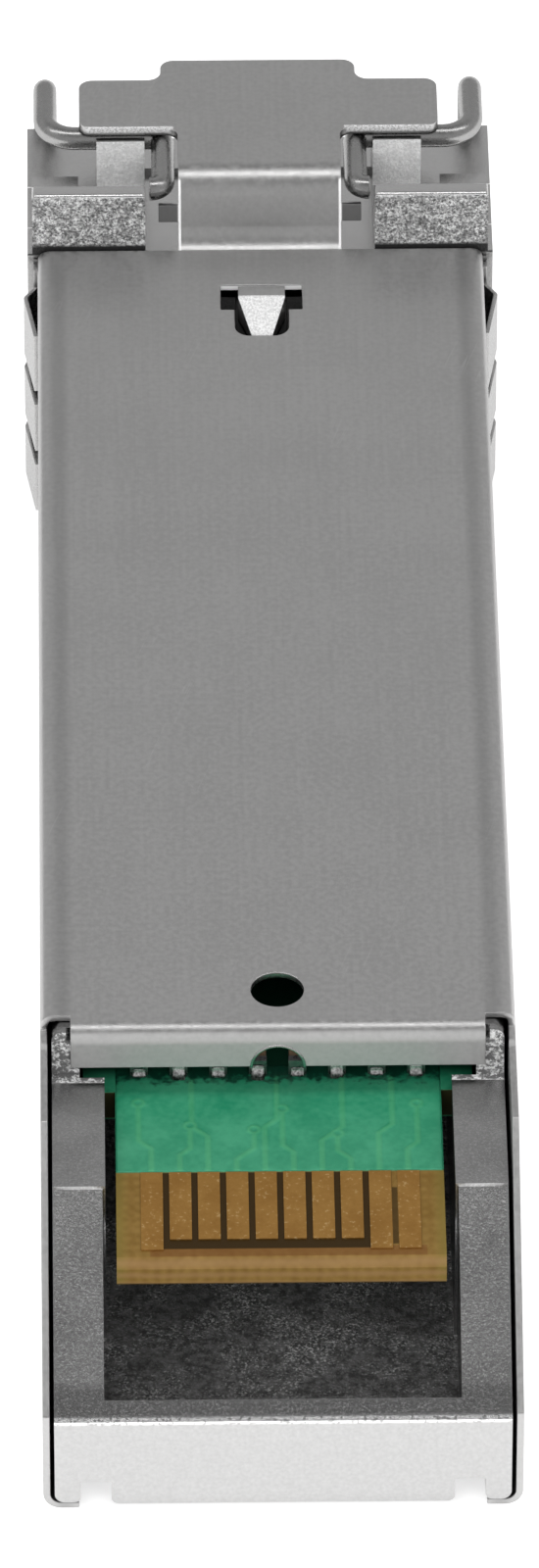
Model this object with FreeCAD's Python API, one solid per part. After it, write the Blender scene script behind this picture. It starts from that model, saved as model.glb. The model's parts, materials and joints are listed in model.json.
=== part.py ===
"""Pluggable optical transceiver module, lying label side down, latch side up.

Millimetres. X runs across the module, Y towards the optical ports, Z up to the latch side.
The datum along the body is the latch shoulder: "ahead" counts from it towards the ports.
"""
import FreeCAD, Part
import os
from math import degrees, tan
from FreeCAD import Vector

# Envelope of the module
REAR_REACH = 45.0          # latch shoulder to the rear end
NOSE_REACH = 10.5          # latch shoulder to the front of the optical ports
BODY_WIDTH = 13.4          # outside the sheet cover
BODY_HEIGHT = 8.5          # label side to the latch side of the cover

# Sheet cover
SHEET = 0.2
BEND_RADIUS = 0.5          # outside radius of the long bends
COVER_GAP = 0.1            # top panel to the stop blocks
SIDE_SETBACK = 0.55        # side panels end behind the top panel
WINDOW_LENGTH = 10.55      # open rear end, from the flange to the rear
FLANGE_INSET = 0.85        # flange ends inside the cover's outer faces
FLANGE_DROP = 1.3          # height of the turned-down flange
RELIEF_WIDTH = 0.42        # slots that free the flange from the side panels
RELIEF_LENGTH = 0.75
LIP_WIDTH = 1.0            # turned-in lips on the label side
LIP_SETBACK = 9.0          # front end of the lips, behind the shoulder
HOLE_RADIUS = 0.75         # round window near the flange
HOLE_INSET = 1.85
ARCH_RADIUS = 0.72         # half-round notch in the flange
SLOT_MARGIN = 0.1          # round the latch boss
SLOT_SHOULDER = 0.42       # the tee is wider at its front by this much each side
SLOT_LEAD = 0.66           # the tee reaches ahead of the boss
SLOT_CORNER = 0.45
SIDE_TAIL_RISE = 0.2       # side panels stand above the sloped rear rim

# Cast base
SIDE_GAP = 0.12            # between base and side panel
SEAT_GAP = 0.02            # between base and top panel
SEAT_RELIEF = 0.06         # between base and shielding collar
FLOOR = 0.95               # thickness of the tub floor
RAIL_WIDTH = 1.48          # rails beside the board edge
RAIL_DROP = 1.65           # rails below the top of the cover
RAIL_LENGTH = 4.75         # level part of the rails, behind the flange
RAIL_STEP = 0.12
RAIL_INSET = 0.08          # rails get thinner at the step
SIDE_WALL = 0.78           # walls beside the board
RIM_LOW = 3.15             # height of the rim at the rear end
REAR_WALL = 0.55
FIELD_LIFT = 0.15          # label field above the plane the lips lie on
GROOVE_GAP = 0.05          # grooves along the label side, next to the lips
GROOVE_WIDTH = 0.85
GROOVE_DEPTH = 0.75
GROOVE_ROUND = 0.2
BAY_LENGTH = 9.0           # optics bay behind the bulkhead
BULKHEAD = 1.6

# Head of the base, outside the host cage
STOP = 2.55                # rear face of the stop blocks
STOP_DEPTH = 0.6
STOP_RISE = 1.95           # above the cover
STOP_INSET = 0.15          # stop blocks inside the head's sides
STOP_ROUND = 0.15
HEAD_OVERHANG = 0.3        # head wider than the cover, each side
HEAD_ROUND = 0.35
CHANNEL_GAP = 0.12         # channel beside the bail's inner legs
CHANNEL_CLEARANCE = 0.18   # under the legs when they point down
CHANNEL_RUNOUT = 0.8       # channel behind the lever's tail
SIDE_PAD_WIDTH = 1.39      # low pads outside the posts
SIDE_PAD_RISE = 0.45
SIDE_PAD_SETBACK = 0.75    # ahead of the stop blocks
SIDE_PAD_LENGTH = 1.7
POST_WIDTH = 1.45
POST_WALL = 0.22           # either side of the wire
NOSE_CHEEK = 0.55          # beside the ports
NOSE_WALL = 0.6            # above the ports
NOSE_SOLE = 0.38           # below the ports

# Optical ports, two of them side by side
PORT_SIZE = 4.65
PORT_CHEEK = 0.93          # casting between a port and the base's side, which sets their pitch
PORT_AXIS = 3.85           # height of the optical axes
PORT_BACK = 1.0
KEYWAY_WIDTH = 2.7         # slot for the plug's latch
KEYWAY_LENGTH = 3.2
CATCH_WIDTH = 3.5          # pocket where the plug's latch catches
CATCH_LENGTH = 3.2
CATCH_BRIDGE = 0.7         # bar between keyway and pocket
CATCH_DEPTH = 0.7

# Bail, bent from round wire
WIRE = 0.7
BAIL_RISE = 1.18           # turning axis above the cover
LEG_GAP = 0.1              # between the legs and the nose
ARM_SETBACK = 1.05         # corner of arm and leg behind the front of the ports
CAM_LENGTH = 2.6           # inner legs that work the lever
CAM_GAP = 0.1              # between the inner legs and the lever
CAM_STUB = 0.43            # turned-out ends of the inner legs
LOOP_SETBACK = 0.6         # cross bar behind the front of the ports
LOOP_LIFT = 0.05           # cross bar above the label side
WIRE_BEND = 0.9
ARM_BEND = 0.7
BEND_STEPS = 4             # short straight lengths that make up a bend
TIGHT_BEND = 0.03          # inside radius of the bends at the inner legs
WIRE_CLEARANCE = 0.03      # round the journals
LEG_CLEARANCE = 0.15       # between the legs and the head
POST_CLEARANCE = 0.09      # between post tops and lever

# Latch lever, bent from strip
STRIP = 0.3
LEVER_HALF = 2.45
LEVER_BEND = 0.3           # inside radius
LEVER_CORNER = 0.4
WING_GAP = 0.68            # between wings and bail arms
WING_BACK = 0.4            # wings behind the turning axis
WING_REACH = 2.05          # wings ahead of the turning axis
TAB_HALF = 2.95
TAB_REACH = 1.0            # tab ahead of the wings
RISER_SETBACK = 0.55       # riser ahead of the stop faces
RISER_GAP = 0.2            # between riser and inner legs
TAIL_GAP = 0.25            # tail below the top panel
TAIL_OVERRUN = 0.45        # tail behind the boss
TONGUE_MARGIN = 0.06       # tongue wider than the boss
TONGUE_FROM = 1.0
EAR_WIDTH = 0.6
EAR_LIFT = 0.25            # ears above the head's floor
EAR_HEIGHT = 0.85
BOSS_RISE = 0.45           # above the cover
BOSS_FLAT = 0.55
BOSS_LENGTH = 1.75
BOSS_HALF = 0.7
BOSS_TIP_HALF = 0.31
BOSS_TIP_DROP = 0.08       # tip below the cover's face

# Leaf spring under the lever's tail
LEAF = 0.12
LEAF_HALF = 0.55
LEAF_SETBACK = 0.9         # behind the riser
LEAF_STOP = 0.6            # short of the tail's end
LEAF_FOOT = 0.9

# Shielding collar with spring fingers
COLLAR = 0.12
COLLAR_GAP = 0.05          # behind the stop blocks
COLLAR_BAND = 0.65
COLLAR_DROP = 0.35         # upper edge below the top of the cover
COLLAR_LIFT = 0.02         # fingers above the label side
FINGER_DROP = 1.0          # upper edge of the first finger below the top of the cover
FINGER_LENGTH = 5.3
FINGER_RISE = 1.15         # band to the crest of a finger
CREST_ROUND = 0.9
FINGER_BULGE = 0.31
FINGER_PITCH = 2.26
FINGER_GAP = 0.22

# Circuit board
BOARD = 1.0
BOARD_DROP = 2.25          # component side below the top of the cover
BOARD_INSET = 3.2          # board edge inside the rear end
BOARD_SETBACK = 2.4        # front edge behind the optics bay
BOARD_GAP = 0.1            # each side, in its pocket
PADDLE_GAP = 0.3           # each side, between the rails
PADDLE_SET = 0.1           # the board narrows just inside the flange
PADDLE_BEVEL = 0.25
PAD_THICK = 0.04
PAD_COUNT = 10
PAD_PITCH = 0.8
PAD_WIDTH = 0.62
PAD_ZONE = 3.85            # board edge to the far ends of the contacts
PAD_LONG = 0.5             # board edge to the near ends
PAD_SHORT = 0.95
LONG_PADS = (0, 8, 9)

# Parts on the board: place across, distance behind the board's front edge, and size
CHIP_HEIGHT = 0.75
CONTROLLER_ACROSS = 0.6
CONTROLLER_BACK = 13.7
CONTROLLER_SIDE = 4.0
DRIVER_ACROSS = 2.9        # driver on the transmit side, amplifier on the receive side
DRIVER_BACK = 5.9
DRIVER_SIDE = 3.0
MEMORY_ACROSS = -1.3
MEMORY_BACK = 10.4
MEMORY_WIDTH = 3.0
MEMORY_LENGTH = 2.0
CHIP_WIDTH = 0.5           # two-ended chips
CHIP_LENGTH = 1.0
CHIP_END = 0.22
CAPACITOR_HEIGHT = 0.5
CAPACITOR_SET = 1.3        # row of capacitors inside the flange
RESISTOR_HEIGHT = 0.35
RESISTOR_BACK = 8.4
ROW_PITCH = 1.12
ROW_COUNT = 8
BEAD_ACROSS = 3.75
BEAD_WIDTH = 0.8
BEAD_LENGTH = 1.6
BEAD_HEIGHT = 0.8
BEAD_END = 0.32

# Optical sub-assemblies
NOZZLE_RADIUS = 1.45
NOZZLE_REACH = 4.2         # nozzle ahead of the ports' back
NOZZLE_CLEARANCE = 0.05
NOZZLE_BEVEL = 0.18
COLLET_RADIUS = 2.35       # flange that seats on the bulkhead
COLLET_THICK = 0.7
BARREL_RADIUS = 1.9
BARREL_LENGTH = 2.4
CAN_RADIUS = 1.75
CAN_LENGTH = 2.0
HEADER_RADIUS = 2.3
HEADER_THICK = 0.9
SLEEVE_WALL = 0.17
SLEEVE_BORE = 0.63
SLEEVE_LENGTH = 4.2
SLEEVE_SET = 0.4           # sleeve inside the nozzle's mouth
SLEEVE_GAP = 0.02
LIGHT_BORE = 0.35          # light path behind the sleeve
FLEX = 0.14
FLEX_HALF = 1.5
FLEX_LAP = 1.6             # lap on the board
CLAMP = 0.7
CLAMP_GAP = 0.08

# Heights, widths and places that follow
SHOULDER_Y = (REAR_REACH - NOSE_REACH) / 2
SKIN_HALF = BODY_WIDTH / 2
INNER_HALF = SKIN_HALF - SHEET
BASE_HALF = INNER_HALF - SIDE_GAP
COVER_UNDER = BODY_HEIGHT - SHEET
WALL_TOP = COVER_UNDER - SEAT_GAP
COVER_FRONT = STOP - COVER_GAP
SIDE_FRONT = COVER_FRONT - SIDE_SETBACK
FLANGE_REAR = WINDOW_LENGTH - REAR_REACH
FLANGE_FRONT = FLANGE_REAR + SHEET
FLANGE_HALF = SKIN_HALF - FLANGE_INSET
PANEL_REAR = FLANGE_REAR + 2 * BEND_RADIUS
LIP_FRONT = -LIP_SETBACK

TUB_FLOOR = FIELD_LIFT + FLOOR
TUB_HALF = BASE_HALF - RAIL_WIDTH
POCKET_HALF = BASE_HALF - SIDE_WALL
GROOVE_OUTER = SKIN_HALF - LIP_WIDTH - GROOVE_GAP
RAIL_TOP = BODY_HEIGHT - RAIL_DROP
RAIL_REAR = FLANGE_REAR - RAIL_LENGTH
BULKHEAD_REAR = PORT_BACK - BULKHEAD
BAY_REAR = BULKHEAD_REAR - BAY_LENGTH

PORT_PITCH = 2 * (BASE_HALF - PORT_CHEEK) - PORT_SIZE
PORT_TOP = PORT_AXIS + PORT_SIZE / 2
PORT_SOLE = PORT_AXIS - PORT_SIZE / 2
NOSE_HALF = PORT_PITCH / 2 + PORT_SIZE / 2 + NOSE_CHEEK
KEYWAY_BACK = NOSE_REACH - KEYWAY_LENGTH
CATCH_FRONT = KEYWAY_BACK - CATCH_BRIDGE

RISER_REAR = STOP + RISER_SETBACK
RISER_FRONT = RISER_REAR + STRIP
CAM_END = RISER_FRONT + RISER_GAP + WIRE / 2
BAIL_AHEAD = CAM_END + CAM_LENGTH
BAIL_HEIGHT = BODY_HEIGHT + BAIL_RISE
BAIL_HALF = NOSE_HALF + LEG_GAP + WIRE / 2
CAM_HALF = LEVER_HALF + CAM_GAP + WIRE / 2
CAM_TIP = CAM_HALF + CAM_STUB
ARM_END = NOSE_REACH - ARM_SETBACK
LOOP_AHEAD = NOSE_REACH - LOOP_SETBACK
LOOP_HEIGHT = WIRE / 2 + LOOP_LIFT
GROOVE_RADIUS = WIRE / 2 + WIRE_CLEARANCE

LEVER_UNDER = BAIL_HEIGHT + GROOVE_RADIUS
LEVER_TOP = LEVER_UNDER + STRIP
WING_HALF = BAIL_HALF - WIRE / 2 - WING_GAP
WING_REAR = BAIL_AHEAD - WING_BACK
WING_FRONT = BAIL_AHEAD + WING_REACH
TAB_FRONT = WING_FRONT + TAB_REACH
TAIL_TOP = COVER_UNDER - TAIL_GAP
TAIL_UNDER = TAIL_TOP - STRIP
TAIL_REAR = -BOSS_LENGTH - TAIL_OVERRUN
TONGUE_HALF = BOSS_HALF + TONGUE_MARGIN

HEAD_HALF = SKIN_HALF + HEAD_OVERHANG
HEAD_FLOOR = COVER_UNDER
HEAD_FRONT = ARM_END - WIRE / 2 - LEG_CLEARANCE
STOP_TOP = BODY_HEIGHT + STOP_RISE
STOP_HALF = HEAD_HALF - STOP_INSET
CHANNEL_HALF = CAM_TIP + CHANNEL_GAP
CHANNEL_FLOOR = BAIL_HEIGHT - CAM_LENGTH - WIRE / 2 - CHANNEL_CLEARANCE
POST_TOP = LEVER_UNDER - POST_CLEARANCE
POST_REACH = GROOVE_RADIUS + POST_WALL

COLLAR_FRONT = STOP - COLLAR_GAP
COLLAR_REAR = COLLAR_FRONT - COLLAR_BAND
COLLAR_LOW = FINGER_BULGE + COLLAR_LIFT

BOARD_TOP = BODY_HEIGHT - BOARD_DROP
BOARD_UNDER = BOARD_TOP - BOARD
BOARD_HALF = POCKET_HALF - BOARD_GAP
BOARD_FRONT = BAY_REAR - BOARD_SETBACK
BOARD_REAR = BOARD_INSET - REAR_REACH
PADDLE_HALF = TUB_HALF - PADDLE_GAP
PADDLE_FRONT = FLANGE_REAR + PADDLE_SET

NOZZLE_TIP = PORT_BACK + NOZZLE_REACH
COLLET_REAR = BULKHEAD_REAR - COLLET_THICK
BARREL_REAR = COLLET_REAR - BARREL_LENGTH
CAN_REAR = BARREL_REAR - CAN_LENGTH - HEADER_THICK
SLEEVE_FRONT = NOZZLE_TIP - SLEEVE_SET
SLEEVE_REAR = SLEEVE_FRONT - SLEEVE_LENGTH
SLEEVE_OUTER = SLEEVE_BORE + SLEEVE_WALL
FAR = 60.0                 # beyond every solid, for cuts

ACROSS = Vector(1, 0, 0)
ALONG = Vector(0, 1, 0)
UP = Vector(0, 0, 1)


def at(x, ahead, z):
    """A point from its place across, ahead of the latch shoulder and up."""
    return Vector(x, SHOULDER_Y + ahead, z)


def block(across, ahead, up):
    """A box from three (low, high) pairs."""
    size = [high - low for low, high in (across, ahead, up)]
    return Part.makeBox(*size, at(across[0], ahead[0], up[0]))


def centred(half, ahead, up):
    return block((-half, half), ahead, up)


def face_of(points):
    return Part.Face(Part.makePolygon(points + points[:1]))


def plan(outline, up):
    """Outline of (across, ahead) points, raised between two heights."""
    base = face_of([at(x, a, up[0]) for x, a in outline])
    return base.extrude(Vector(0, 0, up[1] - up[0]))


def profile(outline, across):
    """Outline of (ahead, up) points, carried across."""
    base = face_of([at(across[0], a, z) for a, z in outline])
    return base.extrude(Vector(across[1] - across[0], 0, 0))


def mirrored(outline):
    """The right half of an outline from front to rear, completed with its left half."""
    return outline + [(-x, a) for x, a in reversed(outline)]


def both_sides(shape):
    return [shape, shape.mirror(Vector(0, 0, 0), ACROSS)]


def rod(radius, x, z, start, end):
    """A cylinder along the body."""
    return Part.makeCylinder(radius, end - start, at(x, start, z), ALONG)


def edges_along(shape, direction, keep):
    """Straight edges along a direction whose middle passes a test of (across, ahead, up)."""
    direction = direction / direction.Length
    found = []
    for edge in shape.Edges:
        if not isinstance(edge.Curve, Part.Line) or abs(edge.Curve.Direction.dot(direction)) < 0.999:
            continue
        middle = edge.CenterOfMass
        if keep(middle.x, middle.y - SHOULDER_Y, middle.z):
            found.append(edge)
    return found


def near(ahead, up):
    """Test that keeps what lies at one place in the side view."""
    return lambda x, a, z: abs(a - ahead) + abs(z - up) < 1e-3


def rounded(shape, radius, direction, keep):
    return shape.makeFillet(radius, edges_along(shape, direction, keep))


def tube(half, up, ahead, radius):
    """A long box with rounded long edges."""
    return rounded(centred(half, ahead, up), radius, ALONG, lambda x, a, z: True)


# The base is one casting: tub, rails, bulkhead, head and port block.
def sloped_rim(drop, low):
    """Everything above the slope from the rails down to the rear end."""
    start = RAIL_TOP - drop
    slope = (start - low) / (RAIL_REAR + REAR_REACH)
    beyond = -REAR_REACH - 1
    return [(RAIL_REAR, FAR), (RAIL_REAR, start), (beyond, low - slope), (beyond, FAR)]


def tub():
    groove_inner = GROOVE_OUTER - GROOVE_WIDTH
    body = tube(BASE_HALF, (SHEET, WALL_TOP), (-REAR_REACH, STOP), BEND_RADIUS - SHEET)
    body = body.fuse(centred(groove_inner, (-REAR_REACH, LIP_FRONT), (FIELD_LIFT, TUB_FLOOR)))
    rear_inside = REAR_WALL - REAR_REACH
    under_bend = BODY_HEIGHT - BEND_RADIUS
    groove = block((groove_inner, GROOVE_OUTER), (-FAR, LIP_FRONT), (0, SHEET + GROOVE_DEPTH))
    inset = block((TUB_HALF, TUB_HALF + RAIL_INSET), (rear_inside, RAIL_REAR), (TUB_FLOOR, FAR))
    cuts = [
        centred(TUB_HALF, (rear_inside, BAY_REAR), (TUB_FLOOR, FAR)),
        centred(POCKET_HALF, (PADDLE_FRONT - BOARD_GAP, BAY_REAR), (BOARD_UNDER, FAR)),
        centred(POCKET_HALF, (BAY_REAR, BULKHEAD_REAR), (TUB_FLOOR, FAR)),
        centred(FAR, (-FAR, FLANGE_FRONT), (RAIL_TOP, FAR)),
        centred(FLANGE_HALF + SIDE_GAP, (-FAR, FLANGE_REAR + BEND_RADIUS), (under_bend, FAR)),
        profile(sloped_rim(RAIL_STEP, RIM_LOW), (-FAR, FAR)),
    ]
    return body.cut(cuts + both_sides(groove) + both_sides(inset))


def head():
    """Block behind the ports with its stop blocks, posts and low pads."""
    body = centred(HEAD_HALF, (STOP, HEAD_FRONT), (SHEET, HEAD_FLOOR))
    body = rounded(body, HEAD_ROUND, ALONG, lambda x, a, z: z < SHEET + HEAD_ROUND)
    stop = block((CHANNEL_HALF, STOP_HALF), (STOP, STOP + STOP_DEPTH), (PORT_TOP, STOP_TOP))
    stop = stop.makeFillet(STOP_ROUND, [e for e in stop.Edges if e.CenterOfMass.z > STOP_TOP - STOP_ROUND])
    pad_from = STOP + STOP_DEPTH + SIDE_PAD_SETBACK
    pad = block((STOP_HALF - SIDE_PAD_WIDTH, STOP_HALF), (pad_from, pad_from + SIDE_PAD_LENGTH),
                (PORT_TOP, BODY_HEIGHT + SIDE_PAD_RISE))
    post_ahead = (BAIL_AHEAD - POST_REACH, BAIL_AHEAD + POST_REACH)
    post = block((CHANNEL_HALF, CHANNEL_HALF + POST_WIDTH), post_ahead, (PORT_TOP, POST_TOP))
    journal = Part.makeCylinder(GROOVE_RADIUS, FAR, at(0, BAIL_AHEAD, BAIL_HEIGHT), ACROSS)
    mouth = block((0, FAR), (BAIL_AHEAD - GROOVE_RADIUS, BAIL_AHEAD + GROOVE_RADIUS), (BAIL_HEIGHT, FAR))
    extras = [half for piece in (stop, pad, post.cut([journal, mouth])) for half in both_sides(piece)]
    return body.fuse(extras)


def port_block():
    """Nose in front of the head, without its ports."""
    height = (PORT_SOLE - NOSE_SOLE, PORT_TOP + NOSE_WALL)
    return tube(NOSE_HALF, height, (PORT_BACK, NOSE_REACH), HEAD_ROUND)


def port_cuts():
    """Square ports, latch keyways, catch pockets and the bores that take the nozzles."""
    cuts = []
    half, key, catch = PORT_SIZE / 2, KEYWAY_WIDTH / 2, CATCH_WIDTH / 2
    pocket = (CATCH_FRONT - CATCH_LENGTH, CATCH_FRONT)
    for x in (-PORT_PITCH / 2, PORT_PITCH / 2):
        cuts.append(block((x - half, x + half), (PORT_BACK, FAR), (PORT_SOLE, PORT_TOP)))
        cuts.append(block((x - key, x + key), (KEYWAY_BACK, FAR), (0, PORT_AXIS)))
        cuts.append(block((x - catch, x + catch), pocket, (PORT_SOLE - CATCH_DEPTH, PORT_AXIS)))
        cuts.append(rod(NOZZLE_RADIUS + NOZZLE_CLEARANCE, x, PORT_AXIS, BAY_REAR, PORT_AXIS))
    return cuts


def base_housing():
    casting = tub().fuse([head(), port_block()])
    collar_seat = centred(FAR, (LIP_FRONT, COLLAR_FRONT), (-1, COLLAR_LOW + COLLAR + SEAT_RELIEF))
    channel = centred(CHANNEL_HALF, (TAIL_REAR - CHANNEL_RUNOUT, HEAD_FRONT), (CHANNEL_FLOOR, FAR))
    casting = casting.cut(port_cuts() + [collar_seat, channel]).removeSplitter()
    low = SHEET + SEAT_GAP
    brink = GROOVE_OUTER + SEAT_GAP
    keep = lambda x, a, z: z < low and abs(x) < brink and a < LIP_FRONT
    return rounded(casting, GROOVE_ROUND, ALONG, keep)


# The cover is one folded sheet, open on the label side and behind the rear flange.
def tee_slot():
    narrow = BOSS_HALF + SLOT_MARGIN
    wide = narrow + SLOT_SHOULDER
    rear = -BOSS_LENGTH - SLOT_MARGIN
    outline = [(wide, SLOT_LEAD), (wide, -BOSS_FLAT), (narrow, -BOSS_FLAT), (narrow, rear)]
    slot = plan(mirrored(outline), (TAIL_TOP, FAR))
    return rounded(slot, SLOT_CORNER, UP, lambda x, a, z: abs(a - rear) < SLOT_MARGIN)


def rear_flange():
    """Rear end of the top panel, turned down over the base."""
    low = BODY_HEIGHT - FLANGE_DROP
    outline = [(PANEL_REAR, BODY_HEIGHT), (FLANGE_REAR, BODY_HEIGHT), (FLANGE_REAR, low)]
    outline += [(FLANGE_FRONT, low), (FLANGE_FRONT, COVER_UNDER), (PANEL_REAR, COVER_UNDER)]
    flange = profile(outline, (-FLANGE_HALF, FLANGE_HALF))
    flange = rounded(flange, BEND_RADIUS, ACROSS, near(FLANGE_REAR, BODY_HEIGHT))
    flange = rounded(flange, BEND_RADIUS - SHEET, ACROSS, near(FLANGE_FRONT, COVER_UNDER))
    return flange.cut(rod(ARCH_RADIUS, 0, low, -REAR_REACH, PANEL_REAR))


def relief_slot():
    """Round-ended slot between the flange and a side panel, open to the rear."""
    radius = RELIEF_WIDTH / 2
    up = (COVER_UNDER - BEND_RADIUS, FAR)
    end = FLANGE_REAR + RELIEF_LENGTH - radius
    slot = block((FLANGE_HALF, FLANGE_HALF + RELIEF_WIDTH), (-FAR, end), up)
    return slot.fuse(Part.makeCylinder(radius, FAR, at(FLANGE_HALF + radius, end, up[0]), UP))


def side_tail():
    """What the slanted rear edge takes from the side panels."""
    low = RIM_LOW + SIDE_TAIL_RISE
    slope = (RAIL_TOP - RIM_LOW) / (RAIL_REAR + REAR_REACH)
    top = BODY_HEIGHT + 1
    outline = [(-REAR_REACH - 1, low - slope), ((top - low) / slope - REAR_REACH, top)]
    return profile(outline + [(-REAR_REACH - 1, top)], (-FAR, FAR))


def shell_cover():
    length = (-REAR_REACH, COVER_FRONT)
    skin = tube(SKIN_HALF, (0, BODY_HEIGHT), length, BEND_RADIUS)
    seat = COLLAR_LOW + COLLAR + BEND_RADIUS
    cuts = [
        tube(INNER_HALF, (SHEET, COVER_UNDER), (-FAR, FAR), BEND_RADIUS - SHEET),
        centred(SKIN_HALF - LIP_WIDTH, length, (-1, seat)),
        centred(FAR, (LIP_FRONT, FAR), (-1, seat)),
        centred(FAR, (SIDE_FRONT, FAR), (-1, COVER_UNDER - BEND_RADIUS)),
        centred(FLANGE_HALF, (-FAR, PANEL_REAR), (COVER_UNDER - BEND_RADIUS, FAR)),
        centred(FAR, (-FAR, FLANGE_REAR + RELIEF_LENGTH), (BODY_HEIGHT - BEND_RADIUS, FAR)),
        side_tail(),
    ]
    skin = skin.cut(cuts + both_sides(relief_slot())).fuse(rear_flange())
    window = Part.makeCylinder(HOLE_RADIUS, FAR, at(0, FLANGE_REAR + HOLE_INSET, TAIL_TOP), UP)
    return skin.cut([window, tee_slot()]).removeSplitter()


# The collar is a thin sheet band round three sides, with spring fingers that bow outwards.
def finger(place, width):
    """A bowed finger: place turns (out, ahead) into a point, and width carries it sideways."""
    end = COLLAR_REAR - FINGER_LENGTH
    crest = COLLAR_REAR - FINGER_RISE
    outer = [place(COLLAR, COLLAR_REAR), place(COLLAR + FINGER_BULGE, crest), place(COLLAR, end)]
    inner = [place(0, end), place(FINGER_BULGE, crest), place(0, COLLAR_REAR)]
    strip = face_of(outer + inner).extrude(width)
    return rounded(strip, CREST_ROUND, width, lambda x, a, z: abs(a - crest) < COLLAR)


def emi_spring_collar():
    span = (COLLAR_REAR, COLLAR_FRONT)
    band = tube(SKIN_HALF + COLLAR, (COLLAR_LOW, FAR), span, BEND_RADIUS + COLLAR)
    band = band.cut([tube(SKIN_HALF, (COLLAR_LOW + COLLAR, 2 * FAR), span, BEND_RADIUS),
                     centred(FAR, span, (BODY_HEIGHT - COLLAR_DROP, 2 * FAR))])
    width = FINGER_PITCH - FINGER_GAP
    top = BODY_HEIGHT - FINGER_DROP
    fingers = []
    for index in range(int((top - COLLAR_LOW - COLLAR) / FINGER_PITCH)):
        low = top - index * FINGER_PITCH - width
        side = finger(lambda out, ahead: at(SKIN_HALF + out, ahead, low), UP * width)
        fingers += both_sides(side)
    count = int(2 * (SKIN_HALF - BEND_RADIUS) / FINGER_PITCH)
    for index in range(count):
        left = (index - count / 2) * FINGER_PITCH + FINGER_GAP / 2
        label = finger(lambda out, ahead: at(left, ahead, COLLAR_LOW + COLLAR - out), ACROSS * width)
        fingers.append(label)
    return band.fuse(fingers).removeSplitter()


# The lever is one bent strip: winged plate, riser with ears, tail and a latch boss.
def latch_boss():
    outline = [(BOSS_HALF, 0), (BOSS_HALF, -BOSS_FLAT), (BOSS_TIP_HALF, -BOSS_LENGTH)]
    top = BODY_HEIGHT + BOSS_RISE
    tip = BODY_HEIGHT - BOSS_TIP_DROP
    wedge = plan(mirrored(outline), (TAIL_TOP, top))
    drop = (top - tip) / (BOSS_LENGTH - BOSS_FLAT)
    beyond = -BOSS_LENGTH - 1
    ramp = [(-BOSS_FLAT, top), (beyond, tip - drop), (beyond, FAR), (-BOSS_FLAT, FAR)]
    return wedge.cut(profile(ramp, (-FAR, FAR)))


def latch_lever():
    outline = [(TAB_HALF, TAB_FRONT), (TAB_HALF, WING_FRONT), (WING_HALF, WING_FRONT)]
    outline += [(WING_HALF, WING_REAR), (LEVER_HALF, WING_REAR), (LEVER_HALF, RISER_REAR)]
    plate = plan(mirrored(outline), (LEVER_UNDER, LEVER_TOP))
    plate = rounded(plate, LEVER_CORNER, UP, lambda x, a, z: a > RISER_FRONT)
    riser = centred(LEVER_HALF, (RISER_REAR, RISER_FRONT), (TAIL_UNDER, LEVER_TOP))
    tail = [(LEVER_HALF, RISER_FRONT), (LEVER_HALF, TONGUE_FROM)]
    tail += [(TONGUE_HALF, TONGUE_FROM), (TONGUE_HALF, TAIL_REAR)]
    tail = plan(mirrored(tail), (TAIL_UNDER, TAIL_TOP))
    lever = plate.fuse([riser, tail]).removeSplitter()
    lever = rounded(lever, LEVER_BEND + STRIP, ACROSS, near(RISER_REAR, LEVER_TOP))
    lever = rounded(lever, LEVER_BEND, ACROSS, near(RISER_FRONT, LEVER_UNDER))
    lever = rounded(lever, LEVER_BEND, ACROSS, near(RISER_REAR, TAIL_TOP))
    lever = rounded(lever, LEVER_BEND + STRIP, ACROSS, near(RISER_FRONT, TAIL_UNDER))
    ear_low = HEAD_FLOOR + EAR_LIFT
    ears = centred(LEVER_HALF + EAR_WIDTH, (RISER_REAR, RISER_FRONT), (ear_low, ear_low + EAR_HEIGHT))
    return lever.fuse([ears, latch_boss()]).removeSplitter()


def latch_spring():
    """Leaf that lies on the channel floor and bears up on the lever's tail."""
    foot = CHANNEL_FLOOR
    start = RISER_REAR - LEAF_SETBACK
    end = TAIL_REAR + LEAF_STOP
    rise = [(start, foot), (start, foot + LEAF), (start - LEAF_FOOT, foot + LEAF)]
    rise += [(end + LEAF_FOOT, TAIL_UNDER), (end, TAIL_UNDER), (end, TAIL_UNDER - LEAF)]
    rise += [(end + LEAF_FOOT, TAIL_UNDER - LEAF), (start - LEAF_FOOT, foot)]
    return profile(rise, (-LEAF_HALF, LEAF_HALF))


# The bail is one length of round wire: two cam legs, two journals, two arms and a loop.
def bent_wire(points, bends):
    """Round wire through the points, its corners eased into short straight lengths."""
    path = [points[0]]
    for before, corner, after, bend in zip(points, points[1:], points[2:], bends):
        along = (corner - before).normalize()
        on = (after - corner).normalize()
        turn = along.getAngle(on)
        begin = corner - along * bend * tan(turn / 2)
        axis = along.cross(on).normalize()
        centre = begin + axis.cross(along) * bend
        for step in range(BEND_STEPS + 1):
            swing = FreeCAD.Rotation(axis, degrees(turn) * step / BEND_STEPS)
            path.append(centre + swing.multVec(begin - centre))
    path.append(points[-1])
    section = Part.Wire(Part.makeCircle(WIRE / 2, path[0], path[1] - path[0]))
    mitred = 1
    return Part.makePolygon(path).makePipeShell([section], True, False, mitred)


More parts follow.
